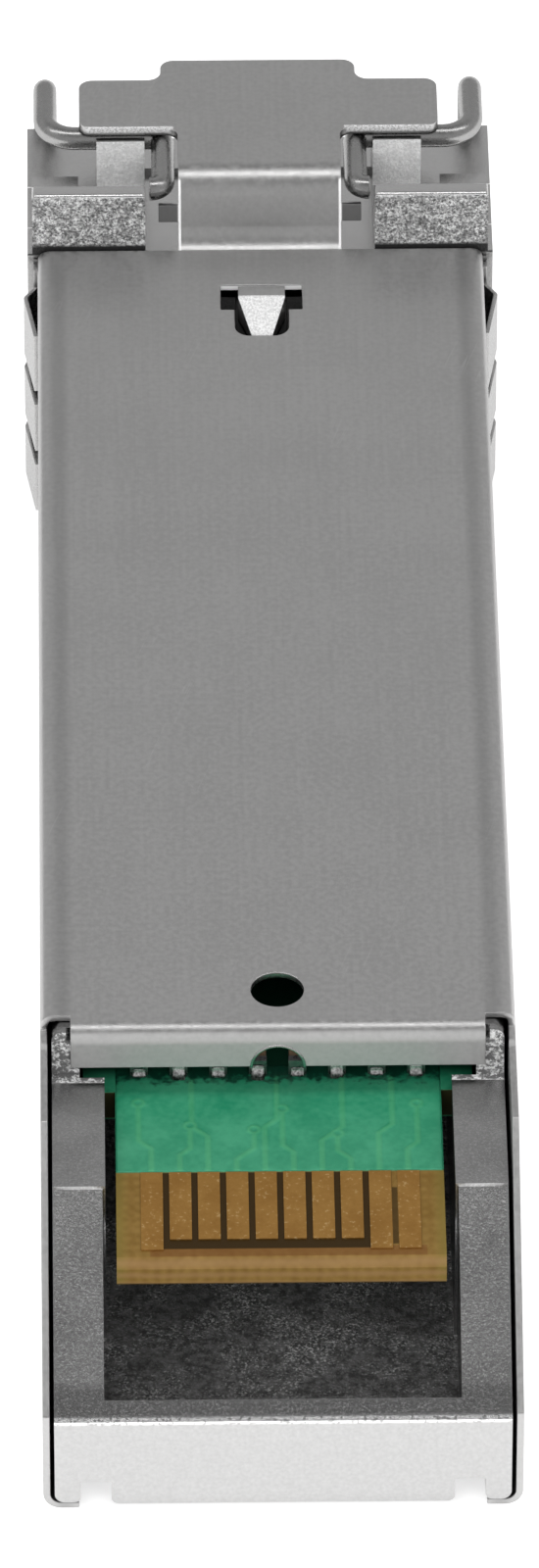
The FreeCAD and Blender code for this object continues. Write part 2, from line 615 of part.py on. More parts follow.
def bail_wire():
    level = [(CAM_TIP, CAM_END), (CAM_HALF, CAM_END), (CAM_HALF, BAIL_AHEAD)]
    level += [(BAIL_HALF, BAIL_AHEAD), (BAIL_HALF, ARM_END)]
    half = [(x, ahead, BAIL_HEIGHT) for x, ahead in level] + [(BAIL_HALF, LOOP_AHEAD, LOOP_HEIGHT)]
    points = [at(*p) for p in half] + [at(-x, a, z) for x, a, z in reversed(half)]
    tight = WIRE / 2 + TIGHT_BEND
    bends = [tight, tight, WIRE_BEND, ARM_BEND, WIRE_BEND]
    return bent_wire(points, bends + bends[::-1])


# Board with its edge contacts and parts.
def circuit_board():
    outline = [(BOARD_HALF, BOARD_FRONT), (BOARD_HALF, PADDLE_FRONT)]
    outline += [(PADDLE_HALF, PADDLE_FRONT), (PADDLE_HALF, BOARD_REAR)]
    board = plan(mirrored(outline), (BOARD_UNDER, BOARD_TOP))
    rear = edges_along(board, ACROSS, lambda x, a, z: a < BOARD_REAR + PADDLE_BEVEL)
    return board.makeChamfer(PADDLE_BEVEL, rear)


def edge_contacts():
    pads = []
    for index in range(PAD_COUNT):
        x = (index - (PAD_COUNT - 1) / 2) * PAD_PITCH
        across = (x - PAD_WIDTH / 2, x + PAD_WIDTH / 2)
        end = PAD_LONG if index in LONG_PADS else PAD_SHORT
        ahead = (BOARD_REAR + end, BOARD_REAR + PAD_ZONE)
        pads.append(block(across, ahead, (BOARD_TOP, BOARD_TOP + PAD_THICK)))
        pads.append(block(across, ahead, (BOARD_UNDER - PAD_THICK, BOARD_UNDER)))
    return Part.makeCompound(pads)


def on_board(x, back, width, length, height):
    """Box that stands on the board, placed behind the board's front edge."""
    ahead = BOARD_FRONT - back
    across = (x - width / 2, x + width / 2)
    return block(across, (ahead - length / 2, ahead + length / 2), (BOARD_TOP, BOARD_TOP + height))


def package(x, back, width, length):
    """Moulded chip with a bevelled top edge."""
    body = on_board(x, back, width, length, CHIP_HEIGHT)
    top = [edge for edge in body.Edges if edge.CenterOfMass.z > BOARD_TOP + 0.99 * CHIP_HEIGHT]
    return body.makeChamfer(CHIP_HEIGHT / 8, top)


def controller_chip():
    return package(CONTROLLER_ACROSS, CONTROLLER_BACK, CONTROLLER_SIDE, CONTROLLER_SIDE)


def two_ended(x, back, size, end):
    """Two-ended chip: a body a little thinner than its end caps."""
    width, length, height = size
    slim = 0.94
    core = on_board(x, back, slim * width, length, slim * height)
    shift = (length - end) / 2
    caps = [on_board(x, back + way * shift, width, end, height) for way in (-1, 1)]
    return core.fuse(caps).removeSplitter()


def chip_row(back, height):
    """Row of two-ended chips across the board."""
    places = [(index - (ROW_COUNT - 1) / 2) * ROW_PITCH for index in range(ROW_COUNT)]
    size = (CHIP_WIDTH, CHIP_LENGTH, height)
    return Part.makeCompound([two_ended(x, back, size, CHIP_END) for x in places])


def capacitors():
    return chip_row(BOARD_FRONT - FLANGE_REAR - CAPACITOR_SET, CAPACITOR_HEIGHT)


def resistors():
    return chip_row(RESISTOR_BACK, RESISTOR_HEIGHT)


def ferrite_beads():
    size = (BEAD_WIDTH, BEAD_LENGTH, BEAD_HEIGHT)
    places = (-BEAD_ACROSS, BEAD_ACROSS)
    return Part.makeCompound([two_ended(x, MEMORY_BACK, size, BEAD_END) for x in places])


# Optical sub-assemblies: barrel with nozzle, ceramic sleeve, sealed can and flexible circuit.
def barrel(x):
    nozzle = rod(NOZZLE_RADIUS, x, PORT_AXIS, BULKHEAD_REAR, NOZZLE_TIP)
    tip = [edge for edge in nozzle.Edges if edge.Closed and edge.CenterOfMass.y > SHOULDER_Y + PORT_BACK]
    nozzle = nozzle.makeChamfer(NOZZLE_BEVEL, tip)
    body = nozzle.fuse([rod(COLLET_RADIUS, x, PORT_AXIS, COLLET_REAR, BULKHEAD_REAR),
                        rod(BARREL_RADIUS, x, PORT_AXIS, BARREL_REAR, COLLET_REAR)])
    seat = rod(SLEEVE_OUTER + SLEEVE_GAP, x, PORT_AXIS, SLEEVE_REAR, FAR)
    light = rod(LIGHT_BORE, x, PORT_AXIS, COLLET_REAR, FAR)
    return body.cut([seat, light]).removeSplitter()


def sleeve(x):
    ring = rod(SLEEVE_OUTER, x, PORT_AXIS, SLEEVE_REAR, SLEEVE_FRONT)
    return ring.cut(rod(SLEEVE_BORE, x, PORT_AXIS, SLEEVE_REAR, SLEEVE_FRONT))


def sealed_can(x):
    header = rod(HEADER_RADIUS, x, PORT_AXIS, CAN_REAR, CAN_REAR + HEADER_THICK)
    return header.fuse(rod(CAN_RADIUS, x, PORT_AXIS, CAN_REAR + HEADER_THICK, BARREL_REAR))


def flex_circuit(x):
    """Thin strip from the back of the can up and back onto the board."""
    low = PORT_AXIS - HEADER_RADIUS
    top = BOARD_TOP + FLEX
    lap = BOARD_FRONT - FLEX_LAP
    strip = [(CAN_REAR, low), (CAN_REAR, top), (lap, top), (lap, BOARD_TOP)]
    strip += [(CAN_REAR - FLEX, BOARD_TOP), (CAN_REAR - FLEX, low)]
    return profile(strip, (x - FLEX_HALF, x + FLEX_HALF))


def optics_clamp():
    """Fork that holds both barrels against the bulkhead."""
    ahead = (COLLET_REAR - CLAMP, COLLET_REAR)
    plate = centred(POCKET_HALF - CLAMP_GAP, ahead, (TUB_FLOOR, PORT_AXIS + HEADER_RADIUS))
    radius = BARREL_RADIUS + CLAMP_GAP
    cuts = []
    for x in (-PORT_PITCH / 2, PORT_PITCH / 2):
        cuts.append(rod(radius, x, PORT_AXIS, *ahead))
        cuts.append(block((x - radius, x + radius), ahead, (0, PORT_AXIS)))
    return plate.cut(cuts)


PARTS = {
    "base_housing": base_housing,
    "shell_cover": shell_cover,
    "emi_spring_collar": emi_spring_collar,
    "latch_lever": latch_lever,
    "latch_spring": latch_spring,
    "bail_wire": bail_wire,
    "circuit_board": circuit_board,
    "edge_contacts": edge_contacts,
    "controller_chip": controller_chip,
    "laser_driver_chip": lambda: package(-DRIVER_ACROSS, DRIVER_BACK, DRIVER_SIDE, DRIVER_SIDE),
    "limiting_amplifier_chip": lambda: package(DRIVER_ACROSS, DRIVER_BACK, DRIVER_SIDE, DRIVER_SIDE),
    "memory_chip": lambda: package(MEMORY_ACROSS, MEMORY_BACK, MEMORY_WIDTH, MEMORY_LENGTH),
    "capacitors": capacitors,
    "resistors": resistors,
    "ferrite_beads": ferrite_beads,
    "optics_clamp": optics_clamp,
    "transmitter_barrel": lambda: barrel(-PORT_PITCH / 2),
    "transmitter_sleeve": lambda: sleeve(-PORT_PITCH / 2),
    "transmitter_can": lambda: sealed_can(-PORT_PITCH / 2),
    "transmitter_flex": lambda: flex_circuit(-PORT_PITCH / 2),
    "receiver_barrel": lambda: barrel(PORT_PITCH / 2),
    "receiver_sleeve": lambda: sleeve(PORT_PITCH / 2),
    "receiver_can": lambda: sealed_can(PORT_PITCH / 2),
    "receiver_flex": lambda: flex_circuit(PORT_PITCH / 2),
}

os.makedirs("parts", exist_ok=True)
for name, make in PARTS.items():
    shape = make()
    print(f"{name:26s} solids {len(shape.Solids):2d}  volume {shape.Volume:9.3f}  valid {shape.isValid()}")
    shape.exportStep(f"parts/{name}.step")
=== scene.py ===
# %% [markdown]
# A pluggable optical module, seen from its open rear end
#
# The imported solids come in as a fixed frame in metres. This lesson dresses them: each
# cell takes one piece or one finish of the real object, says how it could be made in
# Blender, and then makes it. X runs across, Y towards the optical ports, Z up.

import json
import math

import bmesh
import bpy
import numpy as np
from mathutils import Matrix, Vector


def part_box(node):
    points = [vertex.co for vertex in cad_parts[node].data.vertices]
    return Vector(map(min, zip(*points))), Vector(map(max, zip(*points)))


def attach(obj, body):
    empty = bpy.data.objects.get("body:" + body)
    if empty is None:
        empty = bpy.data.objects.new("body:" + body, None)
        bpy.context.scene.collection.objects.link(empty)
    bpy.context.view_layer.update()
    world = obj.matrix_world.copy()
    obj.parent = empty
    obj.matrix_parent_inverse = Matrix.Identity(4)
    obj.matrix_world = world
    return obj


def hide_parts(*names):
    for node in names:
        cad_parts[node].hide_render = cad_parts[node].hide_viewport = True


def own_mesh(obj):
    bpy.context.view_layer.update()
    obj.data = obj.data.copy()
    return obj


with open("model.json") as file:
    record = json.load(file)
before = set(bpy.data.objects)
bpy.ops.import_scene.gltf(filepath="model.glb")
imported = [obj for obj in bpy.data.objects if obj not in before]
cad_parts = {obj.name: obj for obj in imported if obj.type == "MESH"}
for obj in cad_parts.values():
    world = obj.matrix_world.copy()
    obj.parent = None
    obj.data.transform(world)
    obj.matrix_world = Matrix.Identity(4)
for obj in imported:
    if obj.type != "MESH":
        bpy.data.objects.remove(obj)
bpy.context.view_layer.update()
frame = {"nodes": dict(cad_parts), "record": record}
scene = bpy.context.scene
MM = 0.001
SHOULDER_Y = 17.25 * MM      # the latch shoulder, from which places along the body are counted


def ahead(mm):
    """Y of a place that lies so many millimetres ahead of the latch shoulder."""
    return SHOULDER_Y + mm * MM


print("solids in the frame:", len(frame["nodes"]))

# %% [markdown]
# Camera
#
# The real picture was taken from far away with a long lens: the sides of the body hardly
# draw together. A camera can be set by eye, but here its direction, distance and lens
# come from corners whose places on the solids are known, so edges fall where they should.

# %% Set the camera
IMAGE_WIDE, IMAGE_TALL = 550, 1600
FOCAL_PIXELS = 15227.7
CENTRE_X, CENTRE_Y = 257.333, 796.403
AZIMUTH, ELEVATION = math.radians(-0.758), math.radians(38.617)
DISTANCE = 434.389 * MM
AIM = Vector((-0.522 * MM, ahead(-18.76), 5.0 * MM))

lens = bpy.data.cameras.new("long_lens")
camera = bpy.data.objects.new("camera", lens)
scene.collection.objects.link(camera)
scene.camera = camera
away = Vector((math.sin(AZIMUTH) * math.cos(ELEVATION),
               -math.cos(AZIMUTH) * math.cos(ELEVATION),
               math.sin(ELEVATION)))
camera.location = AIM + away * DISTANCE
camera.rotation_mode = "QUATERNION"
camera.rotation_quaternion = (-away).to_track_quat("-Z", "Y")
lens.sensor_width = 36.0
lens.lens = lens.sensor_width * FOCAL_PIXELS / IMAGE_TALL
lens.shift_x = (IMAGE_WIDE / 2 - CENTRE_X) / IMAGE_TALL
lens.shift_y = (CENTRE_Y - IMAGE_TALL / 2) / IMAGE_TALL
lens.clip_start = 0.01
scene.view_settings.view_transform = "Standard"
print("lens", round(lens.lens, 1), "mm at", round(DISTANCE, 3), "m")

# %% [markdown]
# Nodes by name
#
# A material is a graph of nodes. Each node could be added and linked by hand, in three or four
# lines; these helpers do it in one, and take either a plain value or another node's output.

# %% Add and join nodes


def feed(tree, socket, value):
    """Link a socket to another node's output, or set it to a plain value."""
    if isinstance(value, bpy.types.NodeSocket):
        tree.links.new(value, socket)
    else:
        socket.default_value = value


def add(tree, kind, settings=None, **values):
    """Add a node; settings are its properties and values its inputs by name."""
    node = tree.nodes.new("ShaderNode" + kind)
    for key, value in (settings or {}).items():
        setattr(node, key, value)
    for key, value in values.items():
        name = key.replace("_", " ")
        feed(tree, next(s for s in node.inputs if s.name == name and s.enabled), value)
    return node


def math_node(tree, operation, first, *others):
    """Values joined from left to right by one operation; a single value for ABSOLUTE."""
    for other in others or (0.0,):
        node = add(tree, "Math", {"operation": operation})
        feed(tree, node.inputs[0], first)
        feed(tree, node.inputs[1], other)
        first = node.outputs[0]
    return first


def times(tree, *values):
    """Product of values; for masks, the place where all of them are 1."""
    return math_node(tree, "MULTIPLY", *values)


def ranged(tree, value, from_low, from_high, to_low=0.0, to_high=1.0):
    """Value carried from one range to another, held at its ends, with a soft start and stop."""
    return add(tree, "MapRange", {"interpolation_type": "SMOOTHSTEP"}, Value=value,
               From_Min=from_low, From_Max=from_high, To_Min=to_low, To_Max=to_high).outputs[0]


print("node helpers ready")

# %% [markdown]
# Colours and masks
#
# A mask is a number from 0 to 1 at each point; the product of two is 1 where both are. Laying one
# colour over another where a mask says so is how every finish below is put together, like paint
# through a stencil, so that has its own helpers.

# %% Lay colours over each other


def blend(tree, share, first, second):
    """Colour between first and second, by a share from 0 to 1."""
    node = add(tree, "Mix", {"data_type": "RGBA"})
    for index, value in ((0, share), (6, first), (7, second)):   # the places of its colour sockets
        feed(tree, node.inputs[index], value)
    return node.outputs[2]


def layered(tree, colour, layers):
    """Colour with further ones laid over it in order, each where its own mask is 1."""
    for mask, layer in layers:
        colour = blend(tree, mask, colour, layer)
    return colour


def grey(level, warm=0.0):
    """A grey of one level, a little warm or cool."""
    return (level * (1 + warm), level, level * (1 - warm), 1.0)


def greys(tree, share, low, high, warm=0.0):
    """Grey between two levels, by a share from 0 to 1."""
    return blend(tree, share, grey(low, warm), grey(high, warm))


print("a warm grey:", grey(0.5, 0.01))

# %% [markdown]
# Shared effects
#
# Plated metal is never one even grey. What makes the difference is shared by several finishes, so
# each effect is a node group: it is built once and placed in each material with its own values.

# %% Start and place a group


def start_group(name, outputs, vector=True, **values):
    """A shader node group with a Vector input, float inputs with usual values, and float outputs."""
    tree = bpy.data.node_groups.new(name, "ShaderNodeTree")
    if vector:
        tree.interface.new_socket(name="Vector", in_out="INPUT", socket_type="NodeSocketVector")
    for label, value in values.items():
        socket = tree.interface.new_socket(name=label, in_out="INPUT", socket_type="NodeSocketFloat")
        socket.default_value = value
    for label in outputs:
        tree.interface.new_socket(name=label, in_out="OUTPUT", socket_type="NodeSocketFloat")
    return tree, tree.nodes.new("NodeGroupInput").outputs, tree.nodes.new("NodeGroupOutput").inputs


def use_group(tree, group, **values):
    """Place a group in a material with its own values."""
    return add(tree, "Group", {"node_tree": group}, **values).outputs


print("group helpers ready")

# %% [markdown]
# Clouds and grain
#
# Plating has a cloudy change of tone over the sheet, and molten metal takes a granular skin from
# a rough mould. Both could be photographs; noise in two sizes has no seams and no edge.

# %% Build the clouds and the grain


def cloud_group():
    """Tone = broad noise and fine noise added, from 0 to 1 around 0.5."""
    tree, given, made = start_group("plating_clouds", ["Tone", "Fine Tone"], Broad=400.0, Fine=6000.0)
    broad = add(tree, "TexNoise", Vector=given["Vector"], Scale=given["Broad"], Detail=3.0)
    fine = add(tree, "TexNoise", Vector=given["Vector"], Scale=given["Fine"], Detail=2.0)
    both = math_node(tree, "ADD", times(tree, broad.outputs[0], 0.6), times(tree, fine.outputs[0], 0.4))
    tree.links.new(both, made["Tone"])
    tree.links.new(fine.outputs[0], made["Fine Tone"])
    return tree


def grain_group():
    """Height = noise plus cells, Tone = the same noise spread to the full range."""
    tree, given, made = start_group("cast_grain", ["Height", "Tone"], Scale=7000.0)
    cells = add(tree, "TexVoronoi", {"feature": "F1"}, Vector=given["Vector"], Scale=given["Scale"])
    noise = add(tree, "TexNoise", Vector=given["Vector"], Scale=given["Scale"], Detail=3.0, Roughness=0.75)
    lumps = times(tree, cells.outputs["Distance"], 0.5)
    tree.links.new(math_node(tree, "ADD", lumps, noise.outputs[0]), made["Height"])
    tree.links.new(ranged(tree, noise.outputs[0], 0.34, 0.66), made["Tone"])
    return tree


CLOUDS, GRAIN = cloud_group(), grain_group()
print("groups:", CLOUDS.name, GRAIN.name)

# %% [markdown]
# Brushed lines and scratches
#
# Sheet is brushed before it is plated, and handling leaves thin scratches. Both run along the body:
# the same noise does, if it is drawn out in that direction.

# %% Build the brushed lines and the scratches
LINE_DRAW, SCRATCH_DRAW = 0.02, 0.03   # scale of the noise along the body, as a share of that across


def brush_group():
    """Tone = noise drawn out along the body into fine lines, around 0.5."""
    tree, given, made = start_group("brushed_lines", ["Tone"], Scale=9000.0)
    drawn = add(tree, "Mapping", Vector=given["Vector"], Scale=(1.0, LINE_DRAW, 1.0))
    lines = add(tree, "TexNoise", Vector=drawn.outputs[0], Scale=given["Scale"], Detail=2.0)
    tree.links.new(lines.outputs[0], made["Tone"])
    return tree


def scratch_group():
    """Mask of thin lines: noise stretched along the body and cut off near its middle value."""
    tree, given, made = start_group("handling_scratches", ["Mask"], Scale=900.0, Turn=0.3)
    turned = add(tree, "VectorRotate", {"rotation_type": "Z_AXIS"},
                 Vector=given["Vector"], Angle=given["Turn"])
    stretched = add(tree, "Mapping", Vector=turned.outputs[0], Scale=(1.0, SCRATCH_DRAW, 1.0))
    lines = add(tree, "TexNoise", Vector=stretched.outputs[0], Scale=given["Scale"], Detail=4.0)
    narrow = math_node(tree, "ABSOLUTE", math_node(tree, "SUBTRACT", lines.outputs[0], 0.5))
    where = add(tree, "TexNoise", Vector=given["Vector"], Scale=220.0, Detail=1.0)
    patchy = ranged(tree, where.outputs[0], 0.55, 0.7)
    tree.links.new(times(tree, ranged(tree, narrow, 0.006, 0.0), patchy), made["Mask"])
    return tree


BRUSHED, SCRATCHES = brush_group(), scratch_group()
print("groups:", BRUSHED.name, SCRATCHES.name)

# %% [markdown]
# Zones
#
# One piece often has several finishes: a face that was sheared, another that was left rough. They
# could be separate materials on separate faces. A mask that is 1 between two places does not depend
# on how a mesh is divided, and its ends can be soft.

# %% Build the zone mask


def zone_group():
    """Mask = 1 where a value lies between two limits, with soft ends."""
    tree, given, made = start_group("zone", ["Mask"], vector=False, Value=0.0, From=0.0, To=1.0, Soft=0.1)
    start = ranged(tree, given["Value"], given["From"], math_node(tree, "ADD", given["From"], given["Soft"]))
    stop = ranged(tree, given["Value"], given["To"], math_node(tree, "SUBTRACT", given["To"], given["Soft"]))
    tree.links.new(times(tree, start, stop), made["Mask"])
    return tree


ZONE = zone_group()


def between(tree, value, low, high, soft):
    """Mask = 1 where a value lies between two limits, with soft ends."""
    return use_group(tree, ZONE, Value=value, From=low, To=high, Soft=soft)["Mask"]


print("group:", ZONE.name)

# %% [markdown]
# Starting a finish
#
# Every finish starts from the Principled shader and from Object coordinates, which stay with the
# piece when it moves. For masks they are turned into millimetres, counted along the body from the
# latch shoulder, so that places in the shaders and sizes of the solids can be compared.

# %% Start a finish


def opened(material):
    """A material's tree, its shader and a source of Object coordinates."""
    tree = material.node_tree
    return tree, tree.nodes["Principled BSDF"], add(tree, "TexCoord").outputs["Object"]


def start_material(name):
    """A new material with one Principled BSDF, and its tree, shader and Object coordinates."""
    material = bpy.data.materials.new(name)
    material.use_nodes = True
    return (material, *opened(material))


def millimetres(tree, place):
    """Place in millimetres: across, ahead of the latch shoulder, and up."""
    scaled = add(tree, "VectorMath", {"operation": "MULTIPLY_ADD"})
    for socket, value in zip(scaled.inputs, (place, (1 / MM,) * 3, (0.0, -SHOULDER_Y / MM, 0.0))):
        feed(tree, socket, value)
    axes = add(tree, "SeparateXYZ", Vector=scaled.outputs[0]).outputs
    return axes["X"], axes["Y"], axes["Z"]


def on_plane(tree, value, plane, hair=0.035):
    """Mask = 1 on a flat face: where a value is within a hair of the plane's, so rounded edges stay out."""
    off = math_node(tree, "ABSOLUTE", math_node(tree, "SUBTRACT", value, plane))
    return ranged(tree, off, hair, 0.3 * hair)


def finish_with(tree, shader, **values):
    """Link or set inputs of a shader by name."""
    for key, value in values.items():
        feed(tree, shader.inputs[key.replace("_", " ")], value)


def bumped(tree, height, strength, distance):
    """Normal that follows a height, with a distance in millimetres."""
    return add(tree, "Bump", Strength=strength, Distance=distance * MM, Height=height).outputs[0]


FINISH = {}
print("ready for finishes")

# %% [markdown]
# Plated sheet, strip and wire
#
# The collar is bright strip, the barrels are turned steel and the bail is polished wire. All are
# metallic; what tells them apart is how rough they are and how their tone changes, so one function
# takes those as values.

# %% Make the plated finishes
GRAZING = 0.75               # plating is not a perfect mirror at a glancing view
WARM = 0.006                 # share by which its greys are warm
FULL = (0.3, 0.7)            # part of the clouds' range that is spread over two tones


def plated(name, tone, rough, spread=0.1, fine=6000.0, scratches=0.15, dent=0.4, edge=None):
    """Sheet or strip: tone varies by spread, scratches are lighter; edge paints shade in a band beside a
    bend.
    """
    material, tree, shader, place = start_material(name)
    clouds = use_group(tree, CLOUDS, Vector=place, Fine=fine)
    lines = use_group(tree, SCRATCHES, Vector=place)["Mask"]
    brushed = use_group(tree, BRUSHED, Vector=place)["Tone"]
    mottled = math_node(tree, "ADD", times(tree, clouds["Tone"], 0.4), times(tree, brushed, 0.2),
                        times(tree, clouds["Fine Tone"], 0.4))
    colour = greys(tree, ranged(tree, mottled, 0.35, 0.65), tone * (1 - spread), tone * (1 + spread), WARM)
    if edge:
        across = math_node(tree, "ABSOLUTE", millimetres(tree, place)[0])
        # painted shade: a darker band beside each long bend
        shade = times(tree, between(tree, across, *edge), 0.28)
        colour = blend(tree, shade, colour, grey(tone * 0.4))
    marked = times(tree, lines, scratches)
    finish_with(tree, shader, Metallic=1.0, Specular_Tint=grey(GRAZING),
                Base_Color=blend(tree, marked, colour, grey(min(1.0, tone * 1.8))),
                Roughness=ranged(tree, clouds["Fine Tone"], *FULL, rough * 0.85, rough * 1.15),
                Normal=bumped(tree, clouds["Fine Tone"], dent, 0.004))
    return material


FINISH["spring_sheet"] = plated("spring_sheet", 0.55, 0.3, spread=0.05)
FINISH["bail_wire"] = plated("polished_wire", 0.37, 0.27, spread=0.05, scratches=0.3, dent=0.1)
FINISH["turned_steel"] = plated("turned_steel", 0.68, 0.26, spread=0.06)
print("plated finishes:", sorted(FINISH))

# %% [markdown]
# The casting
#
# The base is a plated casting. It is smooth where the mould was polished and granular where it was
# not: on the stop bars, the posts, the tub's floor and the torn ends of the rails. Masks on those
# faces lay a grain of dark and bright specks over the plain tone. Other masks paint light and shade
# into the colour: painted shade on the sloped rails, their sill, the foot of the stop bars and a low
# channel beside them, and painted highlights on the end wall's top edge and in the torn ends' lumps.

# %% Make the casting's finish
CAST_WARM = 0.004
# rear faces and spans ahead of the latch shoulder, heights, and places to the sides
STOP_FACE, POST_FACE, LEDGE_FACE, RAIL_HEAD, REAR_FACE = 2.55, 5.95, 3.9, -34.25, -45.0
ABOVE_BODY, BAR_FOOT_SHADE = (8.2, 8.3), (8.68, 8.54)
TUB_SPAN, TUB_FLOOR, RAIL_FOOT, SILL_SHADE_SPAN = (-44.98, 0.0), 1.1, (1.3, 1.5), (-43.9, -44.3)
CHANNEL_SPAN, CHANNEL_RISE, CHANNEL_SIDE = (-3.0, 3.4), (6.0, 7.2), (3.6, 3.5)
TOP_EDGE_HIGHLIGHT_SPAN, TOP_EDGE_HIGHLIGHT_RISE = (-45.1, -44.86), (3.0, 3.12)
TORN_SPAN, TORN_RISE = (RAIL_HEAD - 0.45, RAIL_HEAD + 0.12), (6.7, 6.8)


def cast(name, tone, rough):
    """Casting: granular where the mould was left rough, smooth where it was polished, with painted shade and
    highlights in places.
    """
    material, tree, shader, place = start_material(name)
    x, along, up = millimetres(tree, place)
    grain = use_group(tree, GRAIN, Vector=place, Scale=13000.0)
    coarse = use_group(tree, GRAIN, Vector=place, Scale=4200.0)["Tone"]
    clouds = use_group(tree, CLOUDS, Vector=place, Broad=700.0, Fine=9000.0)
    cloudy, fine = ranged(tree, clouds["Tone"], *FULL), clouds["Fine Tone"]
    # where each kind of surface lies
    above = ranged(tree, up, *ABOVE_BODY)
    bars = times(tree, on_plane(tree, along, STOP_FACE), above)
    steps = math_node(tree, "MAXIMUM", on_plane(tree, along, POST_FACE), on_plane(tree, along, LEDGE_FACE))
    posts = times(tree, steps, above)
    inside = between(tree, along, *TUB_SPAN, 0.02)
    bottom = times(tree, on_plane(tree, up, TUB_FLOOR, 0.2), inside)
    # painted shade: the sloped rails and their sill are darker in colour, for the dim sky that they mirror
    rail_shade = times(tree, inside, ranged(tree, up, *RAIL_FOOT))
    sill_shade = times(tree, inside, ranged(tree, along, *SILL_SHADE_SPAN))
    end_wall = on_plane(tree, along, REAR_FACE, 0.2)
    # painted shade: the low channel beside the stop bars is near black
    channel_shade = times(tree, between(tree, along, *CHANNEL_SPAN, 0.1), between(tree, up, *CHANNEL_RISE, 0.1),
                    ranged(tree, math_node(tree, "ABSOLUTE", x), *CHANNEL_SIDE))
    # painted highlight: a broken bright line along the end wall's top edge
    rim = times(tree, between(tree, along, *TOP_EDGE_HIGHLIGHT_SPAN, 0.06), ranged(tree, up, *TOP_EDGE_HIGHLIGHT_RISE),
                ranged(tree, fine, 0.36, 0.5))
    # the torn ends: rough grain, with painted highlights in its bright lumps
    torn_with_highlights = times(tree, between(tree, along, *TORN_SPAN, 0.08), ranged(tree, up, *TORN_RISE))
    # tones of the granular faces
    raised = ranged(tree, grain["Tone"], 0.55, 1.0)
    skin = times(tree, raised, inside, 0.2)
    two_sizes = times(tree, grain["Tone"], ranged(tree, coarse, 0.0, 1.0, 0.45, 1.1))
    # painted shade darkens the foot of the stop bars
    sand_with_foot_shade = blend(tree, ranged(tree, up, *BAR_FOOT_SHADE), greys(tree, two_sizes, 0.1, 1.0), grey(0.03))
    specks = times(tree, raised, ranged(tree, clouds["Tone"], 0.4, 0.65))
    floor_sand = blend(tree, specks, greys(tree, coarse, 0.085, 0.25), grey(0.85))
    lumps = times(tree, ranged(tree, coarse, 0.25, 0.7), ranged(tree, fine, 0.3, 0.6))
    colour = layered(tree, greys(tree, cloudy, tone * 0.96, tone * 1.03, CAST_WARM), [
        (rail_shade, greys(tree, cloudy, tone * 0.54, tone * 0.72, CAST_WARM)),
        (sill_shade, greys(tree, fine, tone * 0.32, tone * 0.48, CAST_WARM)),
        (end_wall, greys(tree, fine, tone * 0.78, tone, CAST_WARM)),
        (skin, grey(0.95)), (bars, sand_with_foot_shade), (posts, greys(tree, two_sizes, 0.72, 1.0)),
        (bottom, floor_sand), (channel_shade, grey(0.03)), (rim, grey(1.0)),
        (torn_with_highlights, greys(tree, lumps, 0.2, 1.0))])
    sandy = math_node(tree, "MAXIMUM", bars, posts, bottom, torn_with_highlights)
    matte = math_node(tree, "ADD", times(tree, posts, 0.97), times(tree, bars, 0.6),
                      times(tree, bottom, 0.7), times(tree, torn_with_highlights, 0.7))
    height = times(tree, grain["Height"], math_node(tree, "ADD", sandy, 0.15))
    finish_with(tree, shader, Base_Color=colour, Specular_Tint=grey(GRAZING),
                Roughness=ranged(tree, sandy, 0.0, 1.0, rough, 0.5),
                Metallic=math_node(tree, "SUBTRACT", 1.0, matte), Normal=bumped(tree, height, 0.8, 0.03))
    return material


FINISH["cast_metal"] = cast("plated_casting", 0.6, 0.24)
print("casting:", len(FINISH["cast_metal"].node_tree.nodes), "nodes")

# %% [markdown]
# The lever's strip
#
# The lever is satin strip, cut and folded. Its riser and its wings have matte sheared edges, which carry
# a painted highlight, and the boss was pressed up with a rough slope. Its tail lies in the shade under the
# cover, where little light would find its way, so it is darkened by hand with painted shade; its ears get
# painted shade as well.

# %% Make the lever's finish
# the boss is a slope through one point; the other places are ahead, up and to the sides
BOSS_SPAN, BOSS_POINT, BOSS_SLOPE = (-6.0, -0.4), (-0.95, 8.77), 0.4415
TAIL_UP, TAIL_SPAN = (8.2, 8.1), (2.2, 1.8)
EAR_SIDE, EAR_UP = (2.46, 2.5), (10.2, 10.1)
RISER_SIDE, RISER_SPAN = (2.36, 2.47), (2.0, 2.1)
WING_FACE, WING_SIDE, WING_UP = 6.15, (2.55, 2.6), (10.08, 10.22)


